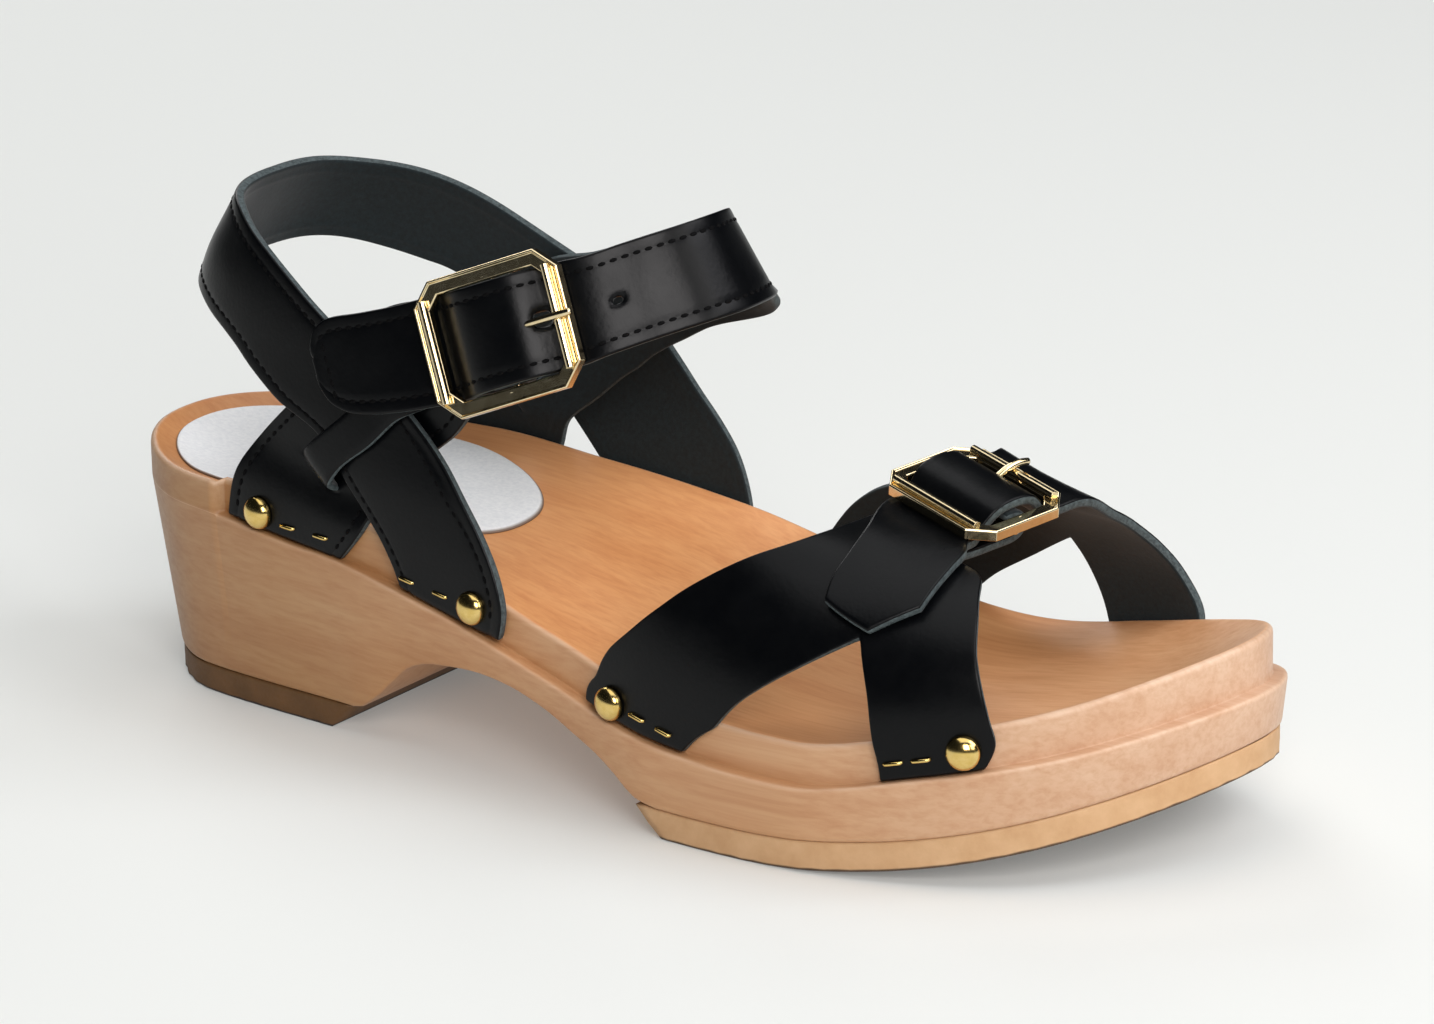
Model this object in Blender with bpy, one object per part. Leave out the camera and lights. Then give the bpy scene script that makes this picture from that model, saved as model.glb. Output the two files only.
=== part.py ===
"""Clog sandal, right shoe: carved wooden sole, leather straps, two buckles and domed nails."""

import math

import bmesh
import bpy
from mathutils import Matrix, Vector

# Sizes are millimetres: x runs from the heel back to the toe, y to the inner side of the foot, z up.
MM = 0.001
GAP = 0.3
LATERAL = -1
MEDIAL = 1


def table(columns, *rows):
    """Named columns of a table with one row per section."""
    return dict(zip(columns.split(), zip(*rows)))


# Wooden sole
SOLE_LENGTH = 250.0
HEEL_ROUND = 24.5
HEEL_POWER = 2.22
TOE_ROUND = 53.0
TOE_POWER = 1.86
SOLE = table(
    "x axis half rim_lateral rim_medial band dish",
    (0, 6.7, 22.9, 48.3, 48.3, 7.5, 4.0),
    (30, 3.8, 29.8, 46.4, 46.6, 6.5, 4.5),
    (60, 2.1, 32.2, 46.0, 46.6, 8.8, 4.0),
    (90, 0.2, 33.9, 40.8, 44.2, 8.6, 3.0),
    (120, 0.0, 37.7, 32.4, 38.8, 7.8, 2.5),
    (150, 0.0, 44.0, 26.0, 28.8, 7.8, 2.0),
    (180, 1.2, 46.4, 24.1, 23.6, 7.6, 2.0),
    (205, 3.1, 43.6, 28.3, 27.6, 7.7, 3.5),
    (228, 5.3, 42.9, 33.5, 33.4, 8.2, 5.0),
    (250, 9.6, 42.5, 40.5, 40.5, 9.1, 4.0),
)
STRAP_STEP = 2.9
STRAP_STEP_START = 34.6
LEDGE_CHAMFER = 0.8
RIM_ROUND = 1.2
SPINE_HEEL = 24.0
SPINE_TOE = 214.0
DISH_POWER = 3.5
FOOTBED_RINGS = (0.86, 0.66, 0.42, 0.18)
DRAFT = table("x inset", (0, 4.4), (62, 4.4), (100, 1.5), (150, 0.5), (250, 1.2))
UNDERSIDE = table(
    "x z",
    (0, 5.6), (67, 5.6), (72.6, 8.8), (78.7, 14.1), (83.5, 17.8), (90, 19.8), (102, 20.9),
    (110, 20.3), (119, 18.2), (128, 14.9), (134, 12.7), (139.5, 9.8), (144.5, 6.6), (148, 5.9),
)
UNDER_CHAMFER = 0.8
MID_STATIONS = (
    30, 34, 35.2, 44, 52, 60, 64, 68, 72, 76, 80, 85, 91, 98, 106, 114,
    122, 130, 137, 143, 148, 152, 158, 166, 174, 182, 190,
)
HEEL_END_STATIONS = 8
TOE_END_STATIONS = 12

# Rubber slips under the sole
SLIP_INSET = 0.3
SLIP_CLEAR = 1.0
OUTSOLE_THICK = 5.4
OUTSOLE_TOP_START = 145.0
OUTSOLE_BOTTOM_START = 151.0
TOE_SPRING = 16.2
TOE_SPRING_START = 169.0
LIFT_THICK = 5.3
LIFT_TOP_END = 66.0
LIFT_BOTTOM_END = 60.0

# Heel sock
SOCK_EDGE = 0.83
SOCK_END = 90.0
SOCK_END_ROUND = 48.0
SOCK_END_POWER = 2.2
SOCK_GAP = 0.55
SOCK_THICK = 1.2
SOCK_RINGS = (0.3, 0.65, 1.0)
SOCK_END_STATIONS = 6

# Last of the ankle: one loop per height, from its back to its front
ANKLE = table(
    "z back front half middle",
    (35, 4.0, 206.0, 32.5, 2.0),
    (50, 5.5, 192.0, 32.5, 2.5),
    (62, 6.5, 179.0, 32.0, 3.0),
    (77, 9.0, 164.0, 31.0, 3.5),
    (88, 13.5, 140.6, 29.0, 3.5),
    (98, 19.5, 132.0, 26.5, 3.5),
    (110, 26.0, 122.0, 23.5, 3.5),
)
ANKLE_POWER = 2.4
HEEL_DRAWN_IN = 8.5
HEEL_DRAWN_POWER = 3
WALL_BLEND = 28.0
WALL_HOLD = 2.0
WALL_HEEL_END = 15.0
WALL_TOE_END = 150.0
WALL_FADE = 15.0

# Last of the forefoot: one arch per station, its crown measured above the rim
FOOT = table(
    "x crown",
    (120, 60.0), (150, 46.5), (170, 38.5), (193, 30.0), (210, 24.5), (225, 20.0), (240, 16.0),
)
ARCH_WIDTH_POWER = 0.80
ARCH_HEIGHT_POWER = 0.85
WALL_MM_PER_DEGREE = 0.4

# Leather straps
LEATHER = 2.0
TUCKED_LEATHER = 1.8
INSIDE = Vector((115.0, 2.0, 45.0))
FEEL = 0.5
WELD = 0.003
ROWS_BETWEEN = 3
HEEL_ROWS_BETWEEN = 2

# Heel strap by its rear or lower edge and its front or upper edge, with its height off the last
HEEL_STRAP_COLUMNS = 5
HEEL_STRAP = table(
    "rear_turn rear_z front_turn front_z lift",
    (-81.3, 34.4, -91.2, 28.9, 0.0),
    (-80.3, 43.2, -92.0, 41.0, 0.35),
    (-77.2, 54.0, -91.0, 54.0, 0.9),
    (-74.0, 61.9, -89.2, 66.5, 0.8),
    (-67.6, 65.9, -84.0, 77.5, 0.8),
    (-60.1, 71.8, -78.6, 86.0, 0.6),
    (-53.3, 76.3, -67.4, 93.0, 0.3),
    (-38.0, 81.0, -45.0, 99.6, 0.0),
    (-20.0, 82.3, -22.0, 101.2, 0.0),
    (0.0, 82.6, 0.0, 101.5, 0.0),
    (22.4, 83.6, 20.0, 101.2, 0.0),
    (38.0, 83.0, 42.0, 99.8, 0.0),
    (50.0, 81.0, 60.0, 98.0, 0.3),
    (60.0, 78.4, 73.4, 94.4, 0.6),
    (66.0, 76.0, 83.6, 88.6, 0.9),
    (72.0, 70.0, 89.0, 82.0, 0.9),
    (77.0, 61.0, 93.0, 71.0, 0.9),
    (80.0, 53.0, 95.5, 60.0, 0.9),
    (82.7, 46.0, 97.0, 49.0, 0.1),
    (84.8, 37.0, 95.4, 33.6, 0.0),
)

# Quarter straps; the bridge between two slits of each holds the heel strap
QUARTER_LANES = (0.0, 0.42, 0.75, 1.0)
QUARTER_LANE_COLUMNS = (2, 2, 3)
BRIDGE_LANE = 1
BRIDGE_LIFT = 5.0
BRIDGE_SLANT = 1.6
BRIDGE_MIDDLE = 0.6
SLIT = 0.02
QUARTER_LATERAL = table(
    "rear_turn rear_z front_turn front_z lift",
    (-50.4, 40.0, -72.6, 36.9, 0.0),
    (-53.2, 49.0, -76.6, 42.8, 0.0),
    (-59.1, 56.9, -79.4, 48.6, -1.7),
    (-66.7, 64.5, -82.0, 53.4, -1.8),
    (-74.9, 73.0, -86.6, 57.8, -1.8),
    (-82.6, 81.0, -90.1, 63.5, -1.7),
    (-91.6, 88.5, -94.2, 70.0, -0.6),
)
BRIDGE_LATERAL = (2.1, 2.6, 5.24, 5.8)
QUARTER_MEDIAL = table(
    "rear_turn rear_z front_turn front_z lift",
    (50.9, 40.2, 76.0, 38.4, 0.0),
    (53.8, 49.0, 78.4, 45.3, 0.0),
    (59.1, 56.8, 81.0, 50.8, -1.7),
    (66.8, 65.0, 85.3, 55.8, -1.8),
    (74.9, 73.5, 89.3, 61.2, -1.8),
    (83.4, 81.5, 92.4, 66.0, -1.8),
    (92.3, 85.4, 97.8, 70.6, -1.5),
    (104.0, 89.6, 105.6, 75.0, -0.5),
    (122.0, 94.4, 125.0, 80.8, -0.3),
    (140.0, 98.6, 142.0, 85.4, -0.7),
    (158.0, 102.3, 161.0, 87.9, 0.2),
)
BRIDGE_MEDIAL = (2.0, 2.55, 5.9, 6.5)

# Nose of the instep strap, from the medial quarter to the ankle buckle, by its two edges
INSTEP = table(
    "rear_x rear_y rear_z front_x front_y front_z",
    (131.3, 8.6, 105.6, 141.8, 8.6, 89.7),
    (134.0, 2.4, 107.0, 143.7, 2.2, 90.5),
    (135.0, -3.0, 107.6, 144.0, -4.2, 90.7),
    (133.9, -8.0, 107.3, 142.3, -10.0, 90.3),
    (130.6, -12.8, 106.2, 137.9, -15.3, 88.8),
    (126.0, -17.0, 104.5, 133.2, -19.6, 87.0),
    (120.6, -21.8, 102.4, 128.1, -24.5, 84.9),
)

# Front strap halves: rear leg and front leg by their edges, then the body where they have joined
LEG_COLUMNS = (4, 3)
FRONT_LATERAL_LEGS = table(
    "rear_x rear_angle notch_rear_x notch_rear_angle notch_front_x notch_front_angle front_x front_angle",
    (132.2, -106.8, 156.6, -108.0, 197.8, -108.4, 215.8, -108.4),
    (132.9, -98.0, 160.3, -98.0, 197.2, -98.0, 217.6, -98.0),
    (136.6, -88.0, 166.2, -88.0, 196.0, -86.0, 216.4, -86.0),
    (143.9, -79.0, 176.9, -75.0, 194.6, -74.0, 214.7, -73.0),
    (150.7, -70.0, 191.0, -56.8, 191.0, -56.8, 212.6, -60.0),
)
FRONT_LATERAL_BODY = table(
    "rear_x rear_angle middle_x middle_angle front_x front_angle lift",
    (150.7, -70.0, 191.0, -56.8, 212.6, -60.0, 0.0),
    (159.9, -56.0, 191.0, -49.0, 210.2, -45.0, 0.0),
    (170.4, -38.0, 192.0, -32.0, 206.0, -27.0, 0.0),
)
FRONT_MEDIAL_LEGS = table(
    "rear_x rear_angle notch_rear_x notch_rear_angle notch_front_x notch_front_angle front_x front_angle",
    (130.0, 106.5, 155.0, 107.0, 196.8, 107.5, 216.5, 108.0),
    (131.0, 98.0, 160.0, 98.0, 195.5, 98.0, 216.5, 98.0),
    (136.0, 88.0, 166.0, 88.0, 194.0, 88.0, 216.5, 88.0),
    (145.0, 76.0, 178.0, 74.0, 191.5, 75.0, 213.6, 75.0),
    (156.6, 65.5, 188.8, 59.7, 188.8, 59.7, 210.6, 60.0),
)
FRONT_MEDIAL_BODY = table(
    "rear_x rear_angle middle_x middle_angle front_x front_angle lift",
    (156.6, 65.5, 188.8, 59.7, 210.6, 60.0, 0.0),
    (163.0, 55.0, 190.0, 47.0, 208.0, 45.0, 0.4),
    (171.0, 38.0, 191.0, 32.0, 206.8, 30.0, 1.4),
)
FRONT_TIP = table(
    "rear_x rear_angle middle_x middle_angle front_x front_angle lift",
    (181.4, -25.0, 191.2, -24.4, 201.0, -22.0, 2.4),
    (182.0, -34.0, 191.6, -35.0, 201.1, -31.0, 2.4),
    (182.0, -42.0, 192.3, -46.0, 200.9, -39.5, 2.4),
    (182.9, -49.6, 193.2, -56.6, 200.6, -46.8, 2.4),
)

# Buckles: seat on the last, way of the strap, way out of the leather, and frame sizes
ANKLE_SEAT = Vector((107.4, -25.3, 86.8))
ANKLE_ALONG = Vector((0.918, 0.177, 0.355))
ANKLE_OUT = Vector((0.109, -0.973, 0.203))
ANKLE_FRAME_ALONG = 32.0
ANKLE_FRAME_ACROSS = 26.7
ANKLE_STRAP_WIDTH = 20.0
FRONT_SEAT = Vector((191.4, 1.8, 56.3))
FRONT_ALONG = Vector((0.279, 0.956, 0.089))
FRONT_OUT = Vector((0.153, -0.136, 0.979))
FRONT_FRAME_ALONG = 23.6
FRONT_FRAME_ACROSS = 29.4
FRONT_STRAP_WIDTH = 21.5
ROD = 2.8
ROD_CHAMFER = 0.8
CORNER_CUT = 3.4
FRAME_LIFT = 6.1
BAR_RADIUS = 1.0
BAR_LIFT = 3.3
BAR_KNEE = 1.6
BAR_SIDES = 10

# Fold of the tucked strap end round the buckle bar
FOLD_RADIUS = 3.3
FOLD_STEPS = 6
ANKLE_FOLD_BACK = -4.0
FRONT_FOLD_BACK = -2.0
ANKLE_FOLD_CENTRE = 0.5
FRONT_FOLD_CENTRE = 0.5

# Way of the free strap through each buckle, in the buckle's axes
THREAD_ROWS_BETWEEN = 2
ANKLE_THREAD = table(
    "along rear front out",
    (14.6, -10.0, 10.0, 2.1),
    (12.4, -10.0, 10.0, 2.2),
    (10.2, -10.0, 10.0, 3.0),
    (7.6, -10.0, 10.0, 5.2),
    (5.0, -10.0, 10.0, 6.8),
    (2.0, -10.0, 10.0, 7.3),
    (-2.0, -10.0, 10.0, 7.3),
    (-5.0, -10.1, 10.0, 6.7),
    (-7.6, -10.2, 10.0, 5.0),
    (-10.2, -10.5, 10.0, 2.9),
    (-12.4, -10.8, 9.9, 2.2),
    (-14.6, -10.9, 9.8, 2.2),
    (-22.0, -11.1, 9.1, 3.3),
    (-30.0, -11.9, 7.8, 3.4),
    (-36.0, -12.6, 6.0, 3.0),
    (-40.0, -10.8, 2.6, 2.6),
    (-41.6, -7.0, -2.0, 2.5),
)
FRONT_THREAD = table(
    "along rear front out",
    (16.0, -12.6, 10.8, 2.1),
    (10.4, -11.0, 10.75, 2.1),
    (8.4, -10.3, 10.3, 2.2),
    (6.4, -10.3, 10.3, 4.0),
    (4.4, -10.75, 10.75, 6.6),
    (1.8, -10.75, 10.75, 7.3),
    (-1.0, -10.75, 10.75, 7.3),
    (-3.4, -10.75, 10.75, 6.8),
    (-5.4, -10.3, 10.3, 4.9),
    (-7.4, -10.3, 10.3, 2.8),
    (-9.0, -10.75, 10.75, 2.2),
    (-10.4, -10.75, 10.75, 2.1),
)
ANKLE_TUCK = (-12.0, -6.0)
FRONT_TUCK = (-14.0, -8.0, -3.0)

# Prongs: along and height off the seat, after the eye round the bar
PRONG_RADIUS = 0.7
PRONG_SIDES = 8
EYE_RADIUS = 2.0
EYE_START = -150.0
EYE_STEPS = 10
ANKLE_PRONG = ((4.5, 6.3), (9.5, 8.1), (14.6, 8.7), (17.4, 8.3))
FRONT_PRONG = ((3.6, 6.3), (7.0, 8.1), (10.4, 8.7), (13.0, 8.3))
PRONG_HOLE = (0.8, 12.0, 2.8)
BAR_SLOT = (-3.6, 8.0, 3.2)
CUTTER_DEPTH = (-1.0, 13.0)

# Domed nails: place on the last of the ankle or of the forefoot
NAIL_WIDTH = 6.6
NAIL_HEIGHT = 2.2
NAIL_GAP = 0.4
NAIL_SEGMENTS = 12
NAIL_RINGS = 8
QUARTER_NAILS = (
    ("nail_quarter_lateral_rear", -58.6, 42.4),
    ("nail_quarter_lateral_front", -89.4, 34.4),
    ("nail_quarter_medial_rear", 57.0, 44.0),
    ("nail_quarter_medial_front", 92.0, 40.4),
)
FRONT_NAILS = (
    ("nail_front_lateral_rear", 139.6, -98.8),
    ("nail_front_lateral_front", 212.4, -98.0),
    ("nail_front_medial_rear", 139.0, 98.6),
    ("nail_front_medial_front", 210.9, 97.0),
)

# Colour, roughness and metallic of each material
FINISHES = {
    "oiled_wood": ((0.62, 0.37, 0.19), 0.5, 0.0),
    "tan_rubber": ((0.26, 0.15, 0.07), 0.75, 0.0),
    "pale_sock": ((0.78, 0.78, 0.75), 0.8, 0.0),
    "black_leather": ((0.012, 0.012, 0.014), 0.45, 0.0),
    "pale_brass": ((0.78, 0.62, 0.36), 0.22, 1.0),
}


# Readings of the tables
def read(sections, column, at):
    """Smooth value of a column between its sections, without overshoot."""
    keys = next(iter(sections.values()))
    values = sections[column]
    last = len(keys) - 1
    at = min(max(at, keys[0]), keys[-1])
    slopes = [(values[i + 1] - values[i]) / (keys[i + 1] - keys[i]) for i in range(last)]

    def tangent(i):
        if i == 0 or i == last:
            return slopes[min(i, last - 1)]
        before, after = slopes[i - 1], slopes[i]
        return 0.0 if before * after <= 0 else 2 * before * after / (before + after)

    i = 0
    while i < last - 1 and at > keys[i + 1]:
        i += 1
    width = keys[i + 1] - keys[i]
    t = (at - keys[i]) / width
    rise = values[i] * (1 + 2 * t) * (1 - t) ** 2 + values[i + 1] * t * t * (3 - 2 * t)
    return rise + width * (tangent(i) * t * (1 - t) ** 2 + tangent(i + 1) * t * t * (t - 1))


def mix(a, b, t):
    """Value between a and b."""
    return a + (b - a) * t


def ease(start, end, at):
    """Soft step from 0 at start to 1 at end."""
    t = min(max((at - start) / (end - start), 0.0), 1.0)
    return t * t * (3 - 2 * t)


def signed_power(base, power):
    """Power that keeps the sign of its base."""
    return math.copysign(abs(base) ** power, base)


def rows_of(sections):
    """Rows of a table of named columns."""
    return list(zip(*sections.values()))


def smooth_rows(sections, between):
    """Rows of a table with more rows between them, on a smooth curve; each begins with its row number."""
    rows = rows_of(sections)
    smooth = []
    for i in range(len(rows) - 1):
        corners = [rows[min(max(i + k, 0), len(rows) - 1)] for k in (-1, 0, 1, 2)]
        for step in range(between):
            t = step / between
            row = []
            for p0, p1, p2, p3 in zip(*corners):
                bend = (2 * p0 - 5 * p1 + 4 * p2 - p3) * t * t + (3 * p1 - p0 - 3 * p2 + p3) * t ** 3
                row.append(0.5 * (2 * p1 + (p2 - p0) * t + bend))
            smooth.append((i + t, *row))
    smooth.append((len(rows) - 1.0, *rows[-1]))
    return smooth


# Sole shape
def heel_share(x):
    """1 at the heel back, falling to 0 where the round heel ends."""
    return max(0.0, 1.0 - x / HEEL_ROUND)


def toe_share(x):
    """1 at the toe, falling to 0 where the round toe begins."""
    return max(0.0, (x - SOLE_LENGTH + TOE_ROUND) / TOE_ROUND)


def end_round(x):
    """Share of the half width left by the rounded heel and toe."""
    heel = (1 - heel_share(x) ** HEEL_POWER) ** (1 / HEEL_POWER)
    toe = (1 - min(toe_share(x), 1.0) ** TOE_POWER) ** (1 / TOE_POWER)
    return heel * toe


def outline(station, side, inset):
    """Point of the sole's outline, drawn in by an inset; side 0 is the middle line."""
    x = station + inset * (heel_share(station) - toe_share(station))
    y = read(SOLE, "axis", station) + side * (read(SOLE, "half", station) - inset) * end_round(station)
    return x, y


def wall_y(x, side, inset):
    """Side of the drawn-in outline at x."""
    station = x
    if toe_share(x) > 0:
        toe_start = SOLE_LENGTH - TOE_ROUND
        station = (x - inset * toe_start / TOE_ROUND) / (1 - inset / TOE_ROUND)
    return outline(min(station, SOLE_LENGTH), side, inset)[1]


def rim(x, side):
    """Height of the footbed's rim; side may lie anywhere between the two sides."""
    return mix(read(SOLE, "rim_lateral", x), read(SOLE, "rim_medial", x), (1 + side) / 2)


def toe_spring(x):
    """Rise of the forefoot off the floor."""
    past = max(0.0, x - TOE_SPRING_START) / (SOLE_LENGTH - TOE_SPRING_START)
    return TOE_SPRING * past * past


def underside(x):
    """Height of the wood's underside."""
    if x < UNDERSIDE["x"][-1]:
        return read(UNDERSIDE, "z", x)
    return OUTSOLE_THICK + GAP + toe_spring(x)


def round_end_steps(length, count):
    """Distances from a round end, close at its tip."""
    return [length * (1 - math.cos(math.pi / 2 * k / count)) for k in range(1, count + 1)]


def sole_stations():
    """Stations of the sole's sections, closer at its round ends."""
    heel = round_end_steps(HEEL_ROUND, HEEL_END_STATIONS)
    toe = round_end_steps(TOE_ROUND, TOE_END_STATIONS)
    return heel + list(MID_STATIONS) + [SOLE_LENGTH - back for back in reversed(toe)]


def around(stations, at, heel_tip=True, toe_tip=True):
    """Ring of points: heel tip, lateral side, toe tip, medial side."""
    ring = [at(0.0, 0)] if heel_tip else []
    ring += [at(x, LATERAL) for x in stations]
    ring += [at(SOLE_LENGTH, 0)] if toe_tip else []
    ring += [at(x, MEDIAL) for x in reversed(stations)]
    return ring


def step_depth(station):
    """Depth of the step that seats the straps."""
    return STRAP_STEP if station > STRAP_STEP_START else 0.0


def rim_inset(station):
    """Inset of the footbed's rim from the outline."""
    return step_depth(station) + RIM_ROUND


def footbed(station, side, share):
    """Point of the dished footbed: share 1 is its rim, 0 its spine."""
    rim_x, rim_y = outline(station, side, rim_inset(station))
    spine_x = min(max(rim_x, SPINE_HEEL), SPINE_TOE)
    x = mix(spine_x, rim_x, share)
    y = mix(read(SOLE, "axis", spine_x), rim_y, share)
    level = mix(x, station, share ** DISH_POWER)
    drop = read(SOLE, "dish", level) * (1 - share ** DISH_POWER)
    return Vector((x, y, rim(level, side * share) - drop))


def sole_ring(level):
    """Ring of the sole's side at a named level."""
    def at(station, side):
        draft = read(DRAFT, "inset", station)
        ledge = rim(station, side) - read(SOLE, "band", station)
        low = underside(station)
        step = step_depth(station)
        inset, z = {
            "underside": (draft + UNDER_CHAMFER, low),
            "wall foot": (draft, low + UNDER_CHAMFER),
            "ledge edge": (0.0, ledge - LEDGE_CHAMFER),
            "ledge top": (LEDGE_CHAMFER if step else 0.0, ledge),
            "ledge root": (step, ledge if step else ledge + LEDGE_CHAMFER),
            "wall top": (step, rim(station, side) - RIM_ROUND),
        }[level]
        x, y = outline(station, side, inset)
        return Vector((x, y, z))
    return at


# Lasts that the straps lie on
def ankle_point(turn, z):
    """Point of the ankle's last; turn is in degrees from the heel back, negative on the lateral side."""
    back, front, half, middle = (read(ANKLE, name, z) for name in ("back", "front", "half", "middle"))
    power = 2 / ANKLE_POWER
    x = (back + front) / 2 - (front - back) / 2 * signed_power(math.cos(math.radians(turn)), power)
    x += HEEL_DRAWN_IN * max(0.0, math.cos(math.radians(turn))) ** HEEL_DRAWN_POWER
    y = middle + half * signed_power(math.sin(math.radians(turn)), power)
    side = LATERAL if math.sin(math.radians(turn)) < 0 else MEDIAL
    if WALL_HEEL_END < x < WALL_TOE_END:
        ends = min((x - WALL_HEEL_END) / WALL_FADE, (WALL_TOE_END - x) / WALL_FADE, 1.0)
        hold = (1 - ease(-WALL_HOLD, WALL_BLEND - WALL_HOLD, z - rim(x, side))) * ends
        y = mix(y, wall_y(x, side, STRAP_STEP - GAP), hold)
    return Vector((x, y, z))


def foot_point(x, angle):
    """Point of the forefoot's last; angle is in degrees from its crown, negative on the lateral side."""
    lateral = wall_y(x, LATERAL, STRAP_STEP - GAP)
    medial = wall_y(x, MEDIAL, STRAP_STEP - GAP)
    bounded = math.radians(max(-90.0, min(90.0, angle)))
    across = signed_power(math.sin(bounded), ARCH_WIDTH_POWER)
    z = rim(x, across) + read(FOOT, "crown", x) * abs(math.cos(bounded)) ** ARCH_HEIGHT_POWER
    z -= max(0.0, abs(angle) - 90.0) * WALL_MM_PER_DEGREE
    return Vector((x, mix(lateral, medial, (1 + across) / 2), z))


def outward(point, first, second):
    """Way out of a last at a place given by its two readings."""
    run = point(first + FEEL, second) - point(first - FEEL, second)
    rise = point(first, second + FEEL) - point(first, second - FEEL)
    way = run.cross(rise).normalized()
    return way if way.dot(point(first, second) - INSIDE) > 0 else -way


def on_ankle(turn, z, lift):
    """Point at a height off the ankle's last."""
    return ankle_point(turn, z) + outward(ankle_point, turn, z) * lift


def on_foot(x, angle, lift):
    """Point at a height off the forefoot's last."""
    return foot_point(x, angle) + outward(foot_point, x, angle) * lift


def seat_axes(along, out):
    """Square axes of a buckle: along the strap, across it, and out of it."""
    along = along.normalized()
    out = (out - along * along.dot(out)).normalized()
    return along, along.cross(out), out


ANKLE_AXES = (ANKLE_SEAT, *seat_axes(ANKLE_ALONG, ANKLE_OUT))
FRONT_AXES = (FRONT_SEAT, *seat_axes(FRONT_ALONG, FRONT_OUT))


def on_seat(axes, along, across, out):
    """Point in a buckle's own axes."""
    seat, way_along, way_across, way_out = axes
    return seat + way_along * along + way_across * across + way_out * out


# Rows of leather: each is a function from the share across to a point
def ankle_row(rear_turn, rear_z, front_turn, front_z, lift):
    return lambda share, raised=0.0: on_ankle(
        mix(rear_turn, front_turn, share), mix(rear_z, front_z, share), lift + raised)


def foot_row(rear_x, rear_angle, front_x, front_angle, lift):
    return lambda share, raised=0.0: on_foot(
        mix(rear_x, front_x, share), mix(rear_angle, front_angle, share), lift + raised)


def bent_foot_row(rear_x, rear_angle, middle_x, middle_angle, front_x, front_angle, lift):
    def at(share, raised=0.0):
        if share < 0.5:
            return foot_row(rear_x, rear_angle, middle_x, middle_angle, lift)(2 * share, raised)
        return foot_row(middle_x, middle_angle, front_x, front_angle, lift)(2 * share - 1, raised)
    return at


def point_row(rear_x, rear_y, rear_z, front_x, front_y, front_z):
    def at(share, raised=0.0):
        point = Vector((rear_x, rear_y, rear_z)).lerp(Vector((front_x, front_y, front_z)), share)
        return point + (point - INSIDE).normalized() * raised
    return at


def seat_row(axes, along, rear, front, out):
    return lambda share, raised=0.0: on_seat(axes, along, mix(rear, front, share), out + raised)


def tuck_rows(axes, width, run_in, centre, back):
    """Rows of a strap end that runs under the bar, folds round it and lies back."""
    path = [(along, 0.0) for along in run_in]
    for step in range(FOLD_STEPS + 1):
        turn = math.pi * step / FOLD_STEPS
        path.append((centre + FOLD_RADIUS * math.sin(turn), FOLD_RADIUS * (1 - math.cos(turn))))
    path.append((back, 2 * FOLD_RADIUS))
    return [seat_row(axes, along, -width / 2, width / 2, out) for along, out in path]


def bridge_rise(bridge, number, share):
    """Height of a strap's bridge at a row number and a share across; its ends lie along the heel strap."""
    rise_start, rise_end, fall_start, fall_end = bridge
    place = number + BRIDGE_SLANT * (share - BRIDGE_MIDDLE)
    return BRIDGE_LIFT * (ease(rise_start, rise_end, place) - ease(fall_start, fall_end, place))


def shares(start, end, columns):
    """Even shares across a strap from start to end."""
    return [mix(start, end, k / columns) for k in range(columns + 1)]


# Building of solids
def face_out(bm):
    """Turn all faces outward."""
    bm.normal_update()
    bmesh.ops.recalc_face_normals(bm, faces=bm.faces)
    bm.normal_update()


def finished(name, bm, finish):
    """Object of a mesh in metres, with its origin under the middle of the sole."""
    bmesh.ops.scale(bm, vec=(MM, MM, MM), verts=bm.verts)
    bmesh.ops.translate(bm, vec=Vector((-MIDDLE_X, -MIDDLE_Y, 0.0)) * MM, verts=bm.verts)
    mesh = bpy.data.meshes.new(name)
    bm.to_mesh(mesh)
    bm.free()
    mesh.shade_smooth()
    mesh.materials.append(MATERIALS[finish])
    made = bpy.data.objects.new(name, mesh)
    bpy.context.scene.collection.objects.link(made)
    return made


def ring_solid(name, rings, finish, starts_at_tip=True):
    """Closed solid over a stack of rings, with ladder-like ends."""
    bm = bmesh.new()
    loops = [[bm.verts.new(point) for point in ring] for ring in rings]
    count = len(loops[0])
    for low, high in zip(loops, loops[1:]):
        for i in range(count):
            following = (i + 1) % count
            bm.faces.new((low[i], low[following], high[following], high[i]))
    offset = 0 if starts_at_tip else 1
    pairs = [(i, (count - offset - i) % count) for i in range(count // 2 + 1)]
    for loop in (loops[0], loops[-1]):
        for (left, right), (next_left, next_right) in zip(pairs, pairs[1:]):
            corners = dict.fromkeys((left, next_left, next_right, right))
            bm.faces.new([loop[i] for i in corners])
    face_out(bm)
    return finished(name, bm, finish)


def leather(name, patches, thickness):
    """Sheet of leather over welded patches, each a list of rows of points, thickened away from the foot."""
    bm = bmesh.new()
    for patch in patches:
        grid = [[bm.verts.new(point) for point in row] for row in patch]
        for row, following in zip(grid, grid[1:]):
            for k in range(len(row) - 1):
                bm.faces.new((row[k], row[k + 1], following[k + 1], following[k]))
    bmesh.ops.remove_doubles(bm, verts=bm.verts, dist=WELD)
    face_out(bm)
    facing = sum(face.normal.dot(face.calc_center_median() - INSIDE) * face.calc_area() for face in bm.faces)
    if facing < 0:
        bmesh.ops.reverse_faces(bm, faces=bm.faces)
    strap = finished(name, bm, "black_leather")
    body = strap.modifiers.new("thickness", "SOLIDIFY")
    body.thickness = thickness * MM
    body.offset = 1.0
    return strap


def patch_of(rows, across):
    """Points of rows of leather at the given shares across."""
    return [[row(share) for share in across] for row in rows]


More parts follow.
